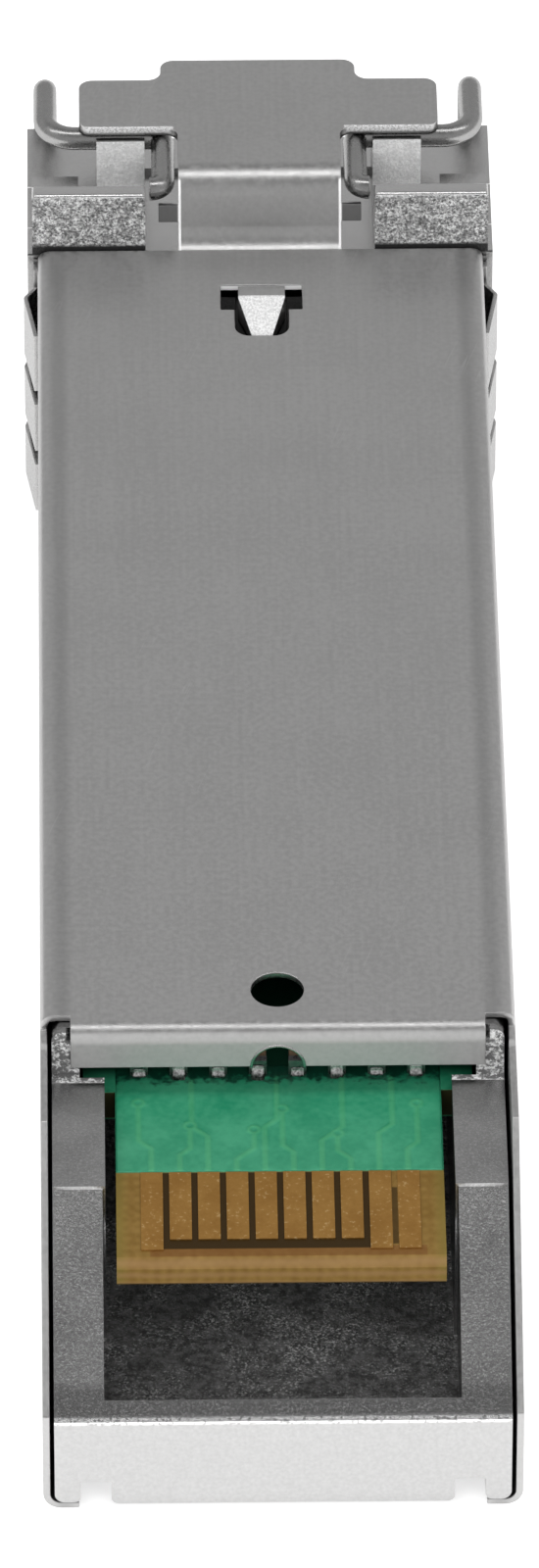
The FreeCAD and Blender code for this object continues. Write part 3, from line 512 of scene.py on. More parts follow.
def lever_metal(name, tone, rough):
    """Satin strip: a rough, bright rear slope on the boss, painted shade on the tail and ears, and painted
    highlights on the sheared sides and wings.
    """
    material = plated(name, tone, rough, spread=0.06, scratches=0.06)
    tree, shader, place = opened(material)
    x, along, up = millimetres(tree, place)
    across = math_node(tree, "ABSOLUTE", x)
    grain = use_group(tree, GRAIN, Vector=place, Scale=15000.0)["Tone"]
    climb = times(tree, math_node(tree, "SUBTRACT", along, BOSS_POINT[0]), BOSS_SLOPE)
    slope = on_plane(tree, math_node(tree, "SUBTRACT", up, climb), BOSS_POINT[1], 0.05)
    boss = times(tree, between(tree, along, *BOSS_SPAN, 0.05), slope)
    # painted shade on the tail under the cover
    tail = times(tree, ranged(tree, up, *TAIL_UP), ranged(tree, along, *TAIL_SPAN))
    low = ranged(tree, up, *EAR_UP)
    # painted shade: the ears beside the riser are darkened
    ear_shade = times(tree, ranged(tree, across, *EAR_SIDE), low, 0.7)
    # painted highlight: the riser's sheared sides are painted white and matte
    sides = times(tree, between(tree, across, *RISER_SIDE, 0.03), low, ranged(tree, along, *RISER_SPAN))
    # painted highlight: the wings' sheared rear faces are painted light and matte
    wings = times(tree, on_plane(tree, along, WING_FACE, 0.09), ranged(tree, across, *WING_SIDE),
                  ranged(tree, up, *WING_UP))
    colour = layered(tree, shader.inputs["Base Color"].links[0].from_socket, [
        (tail, grey(0.04)), (ear_shade, grey(0.1)), (sides, grey(1.0)),
        (wings, greys(tree, ranged(tree, grain, 0.2, 0.7), 0.45, 0.8)),
        (boss, greys(tree, grain, 0.55, 0.88))])
    sheared = times(tree, math_node(tree, "MAXIMUM", sides, wings), 0.8)
    matte = math_node(tree, "MAXIMUM", boss, sheared)
    finish_with(tree, shader, Base_Color=colour, Metallic=ranged(tree, matte, 0.0, 1.0, 1.0, 0.0))
    return material


FINISH["lever_strip"] = lever_metal("lever_strip", 0.52, 0.34)
print("lever:", len(FINISH["lever_strip"].node_tree.nodes), "nodes")

# %% [markdown]
# The cover's sheet
#
# The folded cover is satin plated sheet, with painted shade in a band beside its long bends. Its flange is
# duller, and the front of the slot for the boss shows the sheared thickness of the sheet, matte and painted
# near white as a highlight. Each of these could have a material of its own; two more masks over the plated
# finish keep the sheet in one piece.

# %% Make the cover's finish
FLANGE_FACE, SLOT_FRONT, SLOT_UP, SLOT_SIDE = -34.45, 0.66, (8.48, 8.45), (2.0, 1.9)
BEND_SHADE_BAND = (5.7, 6.45, 0.35)   # from, to and softness of the band of painted shade, to each side


def cover_metal(name, tone, rough):
    """Satin sheet; the turned-down flange is duller and the sheared front of the latch slot is matte, with a
    painted highlight.
    """
    material = plated(name, tone, rough, spread=0.06, edge=BEND_SHADE_BAND)
    tree, shader, place = opened(material)
    x, along, up = millimetres(tree, place)
    flange = on_plane(tree, along, FLANGE_FACE, 0.2)
    # the slot's sheared front: a matte cut face, painted near white as a highlight
    slot = times(tree, on_plane(tree, along, SLOT_FRONT), ranged(tree, up, *SLOT_UP),
                 ranged(tree, math_node(tree, "ABSOLUTE", x), *SLOT_SIDE))
    colour = layered(tree, shader.inputs["Base Color"].links[0].from_socket, [
        (times(tree, flange, 0.3), grey(tone * 0.5)), (slot, grey(0.95))])
    matte = math_node(tree, "ADD", times(tree, flange, 0.75), slot)
    finish_with(tree, shader, Base_Color=colour, Metallic=math_node(tree, "SUBTRACT", 1.0, matte))
    return material


FINISH["cover_sheet"] = cover_metal("satin_cover", 0.53, 0.4)
print("cover:", len(FINISH["cover_sheet"].node_tree.nodes), "nodes")

# %% [markdown]
# The board
#
# The board is glass cloth in amber resin. A green lacquer covers it up to the contacts, and leaves
# the end bare, where the cloth's weave shows. The contacts lie in darker resin. Two crossed waves
# stand in for the weave, and masks from each point's place part resin and lacquer.

# %% Make the board's finish
BOARD_TOP, BOARD_HALF_THICK = 6.25, 0.5
LACQUER_END = -37.9          # rear edge of the green lacquer
DARK_FIELD = ((-3.45, 3.02), (-41.26, -37.9))   # places across and along
DARK_SLIT = ((3.09, 3.31), (-41.1, -38.6))
BURNT_EDGE = ((-3.7, 4.1), (-41.58, -41.1))
OLIVE_SIDE, BEVEL_SPAN, DARK_EDGE = (4.15, 4.6), (-41.5, -41.58), (-41.0, -38.0)
SKIN_REACH = (0.44, 0.49)    # the lacquered faces, from the board's middle
INDOORS = (-33.9, -33.2)     # where the cover's shade falls
MASK_SOFT = 0.06


def lacquer_colour(tree, tone):
    """Green lacquer in clouds of two tones."""
    return blend(tree, ranged(tree, tone, *FULL), (0.018, 0.245, 0.125, 1), (0.05, 0.33, 0.18, 1))


def board_zone(tree, axes, across, along):
    """Mask = 1 on the upper face between two places across and two along, in millimetres."""
    return times(tree, between(tree, axes[0], *across, MASK_SOFT), between(tree, axes[1], *along, MASK_SOFT),
                 ranged(tree, axes[2], BOARD_TOP - 0.12, BOARD_TOP - 0.02))


def board_material():
    """Amber resin over woven glass, dark between the contacts, layered at the bevel, green further in."""
    material, tree, shader, place = start_material("lacquered_board")
    axes = millimetres(tree, place)
    x, along, up = axes
    clouds = use_group(tree, CLOUDS, Vector=place, Broad=900.0, Fine=5000.0)
    weave = times(tree, *(add(tree, "TexWave", {"bands_direction": way}, Vector=place, Scale=900.0,
                              Distortion=1.5).outputs["Fac"] for way in "XY"))
    layers = add(tree, "TexWave", {"bands_direction": "Z"}, Vector=place, Scale=950.0,
                 Distortion=1.2).outputs["Fac"]
    olive = ranged(tree, math_node(tree, "ABSOLUTE", x), *OLIVE_SIDE)
    seam = times(tree, ranged(tree, along, *BEVEL_SPAN), layers, 0.55)
    slit = times(tree, board_zone(tree, axes, *DARK_SLIT), 0.8)
    dark = math_node(tree, "MAXIMUM", board_zone(tree, axes, *DARK_FIELD), slit)
    from_middle = math_node(tree, "ABSOLUTE", math_node(tree, "SUBTRACT", up, BOARD_TOP - BOARD_HALF_THICK))
    edge = times(tree, ranged(tree, from_middle, *SKIN_REACH[::-1]), ranged(tree, along, *DARK_EDGE))
    resin = blend(tree, ranged(tree, clouds["Tone"], *FULL), (0.18, 0.1, 0.02, 1), (0.25, 0.15, 0.04, 1))
    resin = layered(tree, resin, [
        (times(tree, weave, 0.2), (0.36, 0.24, 0.07, 1)),
        (times(tree, olive, 0.6), (0.2, 0.16, 0.035, 1)),
        (seam, (0.3, 0.18, 0.08, 1)),
        (times(tree, board_zone(tree, axes, *BURNT_EDGE), 0.55), (0.16, 0.055, 0.015, 1)),
        (dark, (0.034, 0.018, 0.003, 1)), (edge, (0.03, 0.03, 0.012, 1))])
    lacquer = layered(tree, lacquer_colour(tree, clouds["Tone"]), [
        (ranged(tree, along, *INDOORS), (0.004, 0.03, 0.016, 1))])
    green = times(tree, ranged(tree, along, LACQUER_END - MASK_SOFT, LACQUER_END + MASK_SOFT),
                  ranged(tree, from_middle, *SKIN_REACH))
    finish_with(tree, shader, Base_Color=blend(tree, green, resin, lacquer), Specular_IOR_Level=0.15,
                Roughness=ranged(tree, green, 0.0, 1.0, 0.5, 0.34), Normal=bumped(tree, weave, 0.3, 0.01))
    return material


FINISH["board"] = board_material()
print("board:", len(FINISH["board"].node_tree.nodes), "nodes")

# %% [markdown]
# The lacquer
#
# Lacquer looks lighter where copper lies under it. A painted mask could say where. Instead the film's
# mesh, made further on, carries a copper value at each point, and the finish reads that attribute, so
# tone and shape agree.

# %% Make the lacquer
# painted shadow: the lacquer darkens, on a ragged line, where it runs in under the flange
FILM_SHADOW_SPAN = (-34.15, -33.65)


def film_material():
    """Lacquer that is lighter where copper lies under it, by the mesh's own copper value, with a painted
    shadow under the flange.
    """
    material, tree, shader, place = start_material("green_lacquer")
    clouds = use_group(tree, CLOUDS, Vector=place, Broad=900.0, Fine=5000.0)
    copper = add(tree, "Attribute", {"attribute_name": "copper"}).outputs["Fac"]
    uneven = times(tree, math_node(tree, "SUBTRACT", clouds["Fine Tone"], 0.5), 1.2)
    along = math_node(tree, "ADD", millimetres(tree, place)[1], uneven)
    colour = layered(tree, lacquer_colour(tree, clouds["Tone"]), [
        (times(tree, copper, 0.22), (0.12, 0.46, 0.17, 1)),
        (ranged(tree, along, *FILM_SHADOW_SPAN), (0.003, 0.045, 0.025, 1))])
    finish_with(tree, shader, Base_Color=colour, Normal=bumped(tree, clouds["Fine Tone"], 0.2, 0.006),
                Roughness=ranged(tree, clouds["Fine Tone"], *FULL, 0.28, 0.4))
    return material


GREEN_FILM = film_material()
print("lacquer:", GREEN_FILM.name)

# %% [markdown]
# Contacts, chips and solder
#
# The contacts are gold plated and worn by plugging. Chips are moulded black, capacitors fired tan
# with tinned ends, and solder is a dull, uneven metal. These parts are too small for more than two
# tones in clouds, so one function does for most.

# %% Make the small parts' finishes
TAN_SPAN = (-33.4, -32.9)    # bare ceramic between the tinned ends


def chip_material():
    """Tan ceramic with tinned ends; the row lies across the board, so places along it part the two."""
    material, tree, shader, place = start_material("fired_tan")
    middle = between(tree, millimetres(tree, place)[1], *TAN_SPAN, 0.02)
    clouds = use_group(tree, CLOUDS, Vector=place, Broad=1800.0, Fine=9000.0)
    tan = blend(tree, clouds["Tone"], (0.2, 0.13, 0.08, 1), (0.34, 0.23, 0.14, 1))
    tin = greys(tree, clouds["Tone"], 0.2, 0.55)
    finish_with(tree, shader, Base_Color=blend(tree, middle, tin, tan),
                Metallic=math_node(tree, "SUBTRACT", 1.0, middle),
                Roughness=ranged(tree, clouds["Fine Tone"], *FULL, 0.25, 0.45))
    return material


def dyed(name, low, high, rough, metal=0.0, painted_glints=0.0):
    """Moulded, fired, sintered or gilt surface: two tones in clouds, with a fine bump and a few painted
    glints.
    """
    material, tree, shader, place = start_material(name)
    clouds = use_group(tree, CLOUDS, Vector=place, Broad=1200.0, Fine=9000.0)
    fine = clouds["Fine Tone"]
    colour = blend(tree, ranged(tree, clouds["Tone"], *FULL), (*low, 1), (*high, 1))
    # painted glints: light specks laid into the colour
    if painted_glints:
        colour = blend(tree, ranged(tree, fine, 0.61, 0.72, 0.0, painted_glints), colour, (1.0, 0.78, 0.42, 1))
    finish_with(tree, shader, Base_Color=colour, Metallic=metal, Normal=bumped(tree, fine, 0.3, 0.005),
                Roughness=ranged(tree, fine, *FULL, rough * 0.8, rough * 1.2))
    return material


FINISH.update({
    "gold": dyed("worn_gilding", (0.4, 0.2, 0.045), (0.5, 0.27, 0.07), 0.38, metal=0.85, painted_glints=0.3),
    "chip_black": dyed("moulded_black", (0.018, 0.018, 0.019), (0.035, 0.035, 0.036), 0.5),
    "ceramic_tan": chip_material(),
    "ferrite_grey": dyed("sintered_grey", (0.07, 0.07, 0.075), (0.13, 0.13, 0.135), 0.55),
    "ceramic_white": dyed("ground_ceramic", (0.82, 0.82, 0.8), (0.9, 0.9, 0.88), 0.18),
    "flex_amber": dyed("amber_film", (0.32, 0.13, 0.02), (0.42, 0.19, 0.04), 0.3),
})
SOLDER = plated("grey_solder", 0.55, 0.32, spread=0.6, fine=14000.0, scratches=0.0)
print("finishes:", sorted(FINISH))

# %% [markdown]
# Eased edges
#
# A solid's edges are perfectly sharp, and a real edge never is: sheet is sheared, castings
# have radii, and those narrow curves catch the light. The mesh of a solid comes in as loose
# triangles, so a copy is merged, its flat areas joined, and a Bevel modifier eases the edges.
# The casting comes first.

# %% Copy the casting with eased edges
SLOT_OF = {part["node"]: part["material_slot"] for part in frame["record"]["subparts"]}
BODY_OF = {node: body for body, nodes in frame["record"]["behaviour"]["bodies"].items() for node in nodes}
MERGE, FLAT_TURN = 0.0004 * MM, math.radians(0.5)   # points so close and faces so even become one


def show(piece, body, slot, *nodes, finish=None):
    """Give a new piece its finish, by its slot unless one is given, and its body, and hide the solids that
    it stands for.
    """
    piece.data.materials.clear()
    piece.data.materials.append(finish or FINISH[slot])
    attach(piece, body)
    if nodes:
        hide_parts(*nodes)


def new_piece(name, mesh):
    """A mesh placed in the scene at the origin."""
    piece = bpy.data.objects.new(name, mesh)
    scene.collection.objects.link(piece)
    return piece


def merged_copy(node, name):
    """A copy of a solid's mesh: its loose triangles merged and its flat areas joined."""
    shape = bmesh.new()
    shape.from_mesh(frame["nodes"][node].data)
    bmesh.ops.remove_doubles(shape, verts=shape.verts, dist=MERGE)
    bmesh.ops.dissolve_limit(shape, angle_limit=FLAT_TURN, verts=shape.verts, edges=shape.edges)
    mesh = bpy.data.meshes.new(name)
    shape.to_mesh(mesh)
    shape.free()
    return new_piece(name, mesh)


def eased_copy(node, width, sharp=32.0, reshape=None):
    """The solid's own surface with every edge sharper than an angle rounded to a width."""
    piece = merged_copy(node, node + "_eased")
    mesh = piece.data
    if reshape:
        places = np.empty(len(mesh.vertices) * 3)
        mesh.vertices.foreach_get("co", places)
        places = (places.reshape(-1, 3) - (0, SHOULDER_Y, 0)) / MM
        places = reshape(places) * MM + (0, SHOULDER_Y, 0)
        mesh.vertices.foreach_set("co", places.ravel())
    mesh.polygons.foreach_set("use_smooth", np.ones(len(mesh.polygons), bool))
    bevel = piece.modifiers.new("eased_edges", "BEVEL")
    bevel.limit_method = "ANGLE"
    bevel.angle_limit = math.radians(sharp)
    bevel.width = width
    bevel.segments = 2
    bevel.use_clamp_overlap = True
    bevel.miter_outer = "MITER_ARC"
    even = piece.modifiers.new("flat_areas_lead", "WEIGHTED_NORMAL")
    even.mode = "FACE_AREA"
    even.weight = 100
    show(piece, BODY_OF[node], SLOT_OF[node], node)
    print(piece.name, "faces", len(mesh.polygons))


eased_copy("base_housing", width=0.1 * MM)

# %% [markdown]
# The cover's long bends
#
# The sheet is folded over a tight edge, so the bend along each side is nearly square. Bevelling the
# solid's own bend would not tighten it. Its points are moved instead, all at once, from a quarter
# circle to a squarer curve of the same size.

# %% Tighten the cover's bends
COVER_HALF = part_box("shell_cover")[1][0] / MM
COVER_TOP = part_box("shell_cover")[1][2] / MM
BEND_ROOM, BEND_POWER = 0.5, 3.2     # size of a long bend, and how square it becomes


def cover_bends(points):
    """The two bends along the body, squared off: where a point is both outside and above a bend's middle,
    its distance is stretched by 1 / (cos^p + sin^p)^(1/p) of its angle."""
    x, along, up = points.T
    side, top = COVER_HALF - BEND_ROOM, COVER_TOP - BEND_ROOM
    out, over = np.abs(x) - side, up - top
    reach = np.hypot(out, over) + 1e-9
    square = (np.abs(out) / reach) ** BEND_POWER + (np.abs(over) / reach) ** BEND_POWER
    stretch = np.where((out > 0) & (over > 0), square ** (-1 / BEND_POWER), 1.0)
    return np.column_stack([np.sign(x) * (side + out * stretch), along, top + over * stretch])


eased_copy("shell_cover", width=0.05 * MM, reshape=cover_bends)

# %% [markdown]
# The leaning lever
#
# Behind its plate the lever steps down through two bends, and the riser between them leans forward.
# The solid's riser stands upright. A lattice could lean it, but would squash the bends; turning each
# bend round its own new middle keeps them round.

# %% Lean the lever's riser
LEVER_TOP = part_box("latch_lever")[1][2] / MM
# the solid's lever: radii and middles of its bends, ahead and up, and its riser and tail
SOLID_UPPER_BEND, SOLID_LOWER_BEND = 0.6, 0.3
SOLID_UPPER, SOLID_LOWER = (3.7, LEVER_TOP - SOLID_UPPER_BEND), (2.8, 8.35)
RISER_REAR, RISER_LIMIT, TAIL_START, HAIR = 3.1, 3.0, 0.7, 0.005
# the leaning lever: degrees that each bend turns, its tail, and radii and middles of its bends
LEAN_TURN, FOOT_UP, TAIL_RISE = 71.0, 8.25, 0.2
UPPER_BEND, LOWER_BEND = 1.0, 0.9
UPPER, LOWER = (4.398, LEVER_TOP - UPPER_BEND), (2.316, FOOT_UP + LOWER_BEND)


def spoke(middle, reach, angle):
    """Place at a reach from a bend's middle, turned down by an angle from straight ahead: ahead + reach cos,
    up - reach sin. A negative reach goes back and up."""
    return np.stack([middle[0] + reach * np.cos(angle), middle[1] - reach * np.sin(angle)], axis=1)


def leaning_riser(points):
    """The lever's riser leans forward: both bends keep their order of points but turn through a smaller
    angle round a moved middle, and the points between them share the way from one bend to the other."""
    x, along, up = points.T
    share, lean = LEAN_TURN / 90.0, np.radians(90.0 - LEAN_TURN)
    # upper bend, convex: its angle runs from the riser to the plate
    back, rise = SOLID_UPPER[0] - along, up - SOLID_UPPER[1]
    reach = np.hypot(back, rise) + UPPER_BEND - SOLID_UPPER_BEND
    upper = spoke(UPPER, -reach, lean + np.arctan2(rise, back) * share)
    # lower bend, concave: its angle runs from the tail to the riser
    front, drop = along - SOLID_LOWER[0], SOLID_LOWER[1] - up
    reach = np.hypot(front, drop) + LOWER_BEND - SOLID_LOWER_BEND
    lower = spoke(LOWER, reach, np.pi / 2 - np.arctan2(front, drop) * share)
    # flat of the riser: between the two ends of its own side, rear or front
    depth = along - RISER_REAR
    part = np.clip((up - SOLID_LOWER[1]) / (SOLID_UPPER[1] - SOLID_LOWER[1]), 0, 1)[:, None]
    foot, head = spoke(LOWER, LOWER_BEND + depth, lean), spoke(UPPER, depth - UPPER_BEND, lean)
    flat = foot * (1 - part) + head * part
    # tail: rises towards the lower bend
    run = np.clip((along - TAIL_START) / (SOLID_LOWER[0] - TAIL_START), 0, 1)
    tail = np.stack([along, up + TAIL_RISE * run], axis=1)
    near, high = along < SOLID_UPPER[0] + HAIR, SOLID_UPPER[1] - HAIR
    place = np.stack([along, up], axis=1)
    for part_of, moved in ((near & (up > high), upper),
                           (near & (along > RISER_LIMIT) & (up < high), flat),
                           (near & (along > SOLID_LOWER[0] - HAIR) & (up < SOLID_LOWER[1] + HAIR), lower),
                           (along < SOLID_LOWER[0] - HAIR, tail)):
        place = np.where(part_of[:, None], moved, place)
    return np.column_stack([x, place])


eased_copy("latch_lever", width=0.06 * MM, sharp=21.0, reshape=leaning_riser)

# %% [markdown]
# The collar's fingers
#
# The collar's spring fingers press against the cage that the module slides into. They rise to a crest
# close to the head, end soon behind it, and taper on the two sides. The solid's fingers are longer, so
# places along and up are read from a table of old and new ones.

# %% Shorten the collar's fingers
# places along and heights, in the solid and in the copy, and where the taper is full and where it ends
FINGER_ALONG = ((-3.45, 0.7, 1.85, 2.5), (-0.5, 1.45, 1.95, 2.5))
FINGER_UP = ((2.5, 2.98, 3.2, 4.8, 5.24, 5.46, 7.5), (2.5, 2.68, 3.2, 4.8, 4.94, 5.46, 7.5))
FINGER_TAPER, FINGER_SIDE, FINGER_LOW = ((0.7, 1.85), (1.0, 0.0)), 6.6, 2.5


def short_fingers(points):
    """The collar's fingers rise to their crest close to the head and come down soon behind it; those on
    the two sides grow narrower towards their tips."""
    x, along, up = points.T
    taper = np.interp(along, *FINGER_TAPER) * (np.abs(x) > FINGER_SIDE) * (up > FINGER_LOW)
    narrow = up + taper * (np.interp(up, *FINGER_UP) - up)
    return np.column_stack([x, np.interp(along, *FINGER_ALONG), narrow])


eased_copy("emi_spring_collar", width=0.03 * MM, reshape=short_fingers)

# %% [markdown]
# The bail
#
# The bail is one length of round wire bent cold. A curve with a bevel would do, but the bends
# have known radii, so the path is worked out as straight runs and exact arcs.

# %% Work out the bail's path
ARC_STEPS = 12
AXIS_AHEAD, AXIS_UP = 6.55, 9.68     # the line that the bail turns on
BENDS = [0.38, 0.38, 0.9, 0.7, 0.9]  # radii of the five bends, from an end to the loop


def eased_path(corners, radii):
    """Straight runs joined by arcs: each corner becomes points on the circle tangent to both runs."""
    into = np.diff(corners, axis=0)
    into /= np.linalg.norm(into, axis=1, keepdims=True)
    along, on = into[:-1], into[1:]
    turn = np.arccos(np.clip((along * on).sum(1), -1, 1))
    begin = corners[1:-1] - along * (radii * np.tan(turn / 2))[:, None]
    axis = np.cross(along, on)
    axis /= np.linalg.norm(axis, axis=1, keepdims=True)
    inward = np.cross(axis, along)
    angle = np.linspace(0, 1, ARC_STEPS + 1)[None, :, None] * turn[:, None, None]
    way = np.sin(angle) * along[:, None] + (1 - np.cos(angle)) * inward[:, None]
    arcs = begin[:, None] + radii[:, None, None] * way
    return np.vstack([corners[:1], arcs.reshape(-1, 3), corners[-1:]])


# corners of one half: across, ahead of the shoulder, up
half = [(3.33, 3.95, AXIS_UP), (2.9, 3.95, AXIS_UP), (2.9, AXIS_AHEAD, AXIS_UP),
        (6.45, AXIS_AHEAD, AXIS_UP), (6.45, 9.45, AXIS_UP), (6.45, 9.9, 0.4)]
other_half = [(-x, a, z) for x, a, z in reversed(half)]
corners = np.array([(x * MM, ahead(a), z * MM) for x, a, z in half + other_half])
wire_path = eased_path(corners, np.array(BENDS + BENDS[::-1]) * MM)
print("bail path points", len(wire_path))

# %% [markdown]
# The wire
#
# A circle carried along the path makes the wire, with its cut ends drawn in a little. The solid has
# flats in its bends; this piece is round all the way. Circles set square to the path form a grid,
# and a grid is quickly made into a mesh, so the same functions serve for other pieces.

# %% Carry a circle along the path
SEAM, WIRE_RADIUS = 0.0002 * MM, 0.35
NOSE = 0.12                          # length of a rounded end, in radii of the wire
NOSE_PLACES, NOSE_SIZES = np.array([0.0, 0.0, 0.35, 1.0]), np.array([0.0, 0.8, 0.95, 1.0])
ACROSS_ALL = np.array([0.5, 0.6, 0.62])   # a direction that no run of the wire follows


def grid_mesh(name, points, wrap=False):
    """Mesh of one or several grids of points, rows by columns; wrap closes the columns into a ring."""
    index = np.arange(points.size // 3).reshape(points.shape[:-1])
    left, right = (index, np.roll(index, -1, axis=-1)) if wrap else (index[..., :-1], index[..., 1:])
    faces = np.stack([left[..., :-1, :], right[..., :-1, :], right[..., 1:, :], left[..., 1:, :]], axis=-1)
    mesh = bpy.data.meshes.new(name)
    mesh.from_pydata(points.reshape(-1, 3).tolist(), [], faces.reshape(-1, 4).tolist())
    mesh.polygons.foreach_set("use_smooth", np.ones(len(mesh.polygons), bool))
    return mesh


def closed_piece(name, rings):
    """A piece of ring-shaped grids: doubled points at poles and seams merged, every face turned outwards."""
    mesh = grid_mesh(name, rings, wrap=True)
    shape = bmesh.new()
    shape.from_mesh(mesh)
    bmesh.ops.remove_doubles(shape, verts=shape.verts, dist=SEAM)
    bmesh.ops.recalc_face_normals(shape, faces=shape.faces)
    shape.to_mesh(mesh)
    shape.free()
    return new_piece(name, mesh)


def carried_circle(path, radius, sides=28):
    """Tube: centre + radius (cos a N + sin a B), its two ends drawn in over a short rounded nose."""
    first, last = path[1] - path[0], path[-2] - path[-1]
    run, rows = (NOSE_PLACES * NOSE * radius)[:, None], len(NOSE_PLACES)
    head = path[0] + run * first / np.linalg.norm(first)
    tail = path[-1] + run[::-1] * last / np.linalg.norm(last)
    centre = np.vstack([head, path[1:-1], tail])
    size = np.concatenate([NOSE_SIZES, np.ones(len(path) - 2), NOSE_SIZES[::-1]]) * radius
    tangent = np.gradient(np.vstack([path[:1]] * rows + [path[1:-1]] + [path[-1:]] * rows), axis=0)
    tangent[:rows], tangent[-rows:] = first, -last
    tangent /= np.linalg.norm(tangent, axis=1, keepdims=True)
    normal = ACROSS_ALL - (tangent @ ACROSS_ALL)[:, None] * tangent
    normal /= np.linalg.norm(normal, axis=1, keepdims=True)
    other = np.cross(tangent, normal)
    angle = np.linspace(0, 2 * np.pi, sides, endpoint=False)[None, :, None]
    ring = np.cos(angle) * normal[:, None] + np.sin(angle) * other[:, None]
    return centre[:, None] + size[:, None, None] * ring


bail = closed_piece("bail_round", carried_circle(wire_path, WIRE_RADIUS * MM))
show(bail, "bail", "bail_wire", "bail_wire")
print("bail faces", len(bail.data.polygons))

# %% [markdown]
# The leaf spring
#
# A short leaf under the lever's tail pushes it up. When the bail pulls the boss down, the tail
# presses the leaf flat. A bone or a bend modifier could show that; here the leaf is only a merged copy
# of the solid with its finish, in its resting shape.

# %% Copy the leaf spring
leaf = merged_copy("latch_spring", "leaf_spring")
show(leaf, "housing", "spring_sheet", "latch_spring")
leaf_low, leaf_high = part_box("latch_spring")
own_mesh(leaf)
print("leaf is", round((leaf_high[2] - leaf_low[2]) / MM, 2), "mm tall at rest")

# %% [markdown]
# The rim of the arch
#
# The half-round notch in the flange was punched, which leaves a narrow rolled rim that shines.
# A thin round bead on a half circle is enough: the same carried circle, on another path.

# %% Add the bead round the arch
ARCH_RADIUS, ARCH_AHEAD, ARCH_DOWN = 0.75, -34.44, 1.3   # its middle, ahead and below the cover's top
BEAD_RADIUS, BEAD_SIDES, ARCH_STEPS = 0.045, 14, 40
swing = np.linspace(0.0, np.pi, ARCH_STEPS)
arch_path = np.stack([ARCH_RADIUS * np.cos(swing) * MM, np.full(ARCH_STEPS, ahead(ARCH_AHEAD)),
                      (COVER_TOP - ARCH_DOWN + ARCH_RADIUS * np.sin(swing)) * MM], axis=1)
bead = closed_piece("arch_rim", carried_circle(arch_path, BEAD_RADIUS * MM, BEAD_SIDES))
show(bead, "housing", "cover_sheet", finish=FINISH["spring_sheet"])
print("arch rim faces", len(bead.data.polygons))

# %% [markdown]
# Copper tracks
#
# A track leaves each contact, slants to one side and runs on, either under the cover or to a via, a
# small plated hole. The routes could be drawn as curves; here each is a short list of corners, made
# by one call, so its distance to any point is easily worked out.

# %% Draw the tracks
FILM_HALF, FILM_REAR, FILM_FRONT = 4.59, LACQUER_END, -33.25
CONTACT_PITCH, CONTACT_MIDDLE, UNDER_COVER = 0.8, 4.5, -33.5


def track(contact, straight, shift, end):
    """Corners of a track: straight from its contact, slanted by a shift, and straight to its end."""
    x = (contact - CONTACT_MIDDLE) * CONTACT_PITCH
    bend = FILM_REAR + straight
    return [(x, FILM_REAR), (x, bend), (x + shift, bend + abs(shift)), (x + shift, end)]


TRACKS = [track(0, 1.0, -0.35, -34.9), track(1, 0.7, 0.3, -35.9), track(2, 1.5, -0.45, -33.3),
          track(3, 0.5, 0.5, -36.1), track(4, 1.9, 0.35, -33.3), track(5, 0.8, -0.3, -35.2),
          track(6, 1.3, 0.6, -33.3), track(7, 0.5, -0.35, -36.3), track(8, 1.6, 0.4, -33.3),
          track(9, 0.9, 0.3, -35.0)]
VIAS = [t[-1] for t in TRACKS if t[-1][1] < UNDER_COVER]
print("tracks", len(TRACKS), "vias", len(VIAS))

# %% [markdown]
# Lacquer over copper
#
# The green lacquer follows the tracks in low ridges. A picture of tracks would be flat from the
# side. Here each grid point's distance to the nearest track gives both the film's height and the
# copper value that its finish reads.

# %% Lay the lacquer film over the tracks
GRID_ACROSS, GRID_ALONG = 230, 120
BOARD_TOP_Z = BOARD_TOP * MM
TRACK_HALF, RIDGE, FILM_THICK, BACKING = 0.075, 0.018, 0.02, 0.03
VIA_RADIUS, VIA_HOLE = 0.2, 0.09


def distance_to_line(points, start, end):
    """Distance of every grid point to a straight piece from start to end."""
    start, run = np.asarray(start, float), np.subtract(end, start)
    share = np.clip(((points - start) @ run) / (run @ run), 0.0, 1.0)
    return np.linalg.norm(points - start - share[..., None] * run, axis=-1)


def soft_step(value, low, high):
    """0 below low, 1 above high, and 3 s^2 - 2 s^3 of the share s between."""
    share = np.clip((value - low) / (high - low), 0.0, 1.0)
    return share * share * (3 - 2 * share)


spread = np.stack(np.meshgrid(np.linspace(-FILM_HALF, FILM_HALF, GRID_ACROSS),
                              np.linspace(FILM_REAR, FILM_FRONT, GRID_ALONG)), axis=-1)
across, along = spread[..., 0], spread[..., 1]
lines = [distance_to_line(spread, a, b) for t in TRACKS for a, b in zip(t[:-1], t[1:])]
copper = 1 - soft_step(np.min(lines, axis=0), TRACK_HALF - 0.03, TRACK_HALF + 0.03)
to_via = np.min([np.linalg.norm(spread - np.array(v), axis=-1) for v in VIAS], axis=0)
outside_hole = soft_step(to_via, VIA_HOLE - 0.03, VIA_HOLE + 0.04)
ring = (1 - soft_step(to_via, VIA_RADIUS - 0.04, VIA_RADIUS + 0.04)) * outside_hole
copper = np.maximum(copper * outside_hole, ring)
to_edge = np.minimum(FILM_HALF - np.abs(across), np.minimum(along - FILM_REAR, FILM_FRONT - along))
height = FILM_THICK * soft_step(to_edge, 0.0, 0.05) + RIDGE * copper * soft_step(to_edge, 0.0, 0.1)
film_points = np.stack([across * MM, ahead(along), BOARD_TOP_Z + height * MM], axis=-1)
film = new_piece("lacquer_film", grid_mesh("lacquer_film", film_points))
shares = film.data.attributes.new("copper", "FLOAT", "POINT")
shares.data.foreach_set("value", copper.ravel().astype(np.float32))
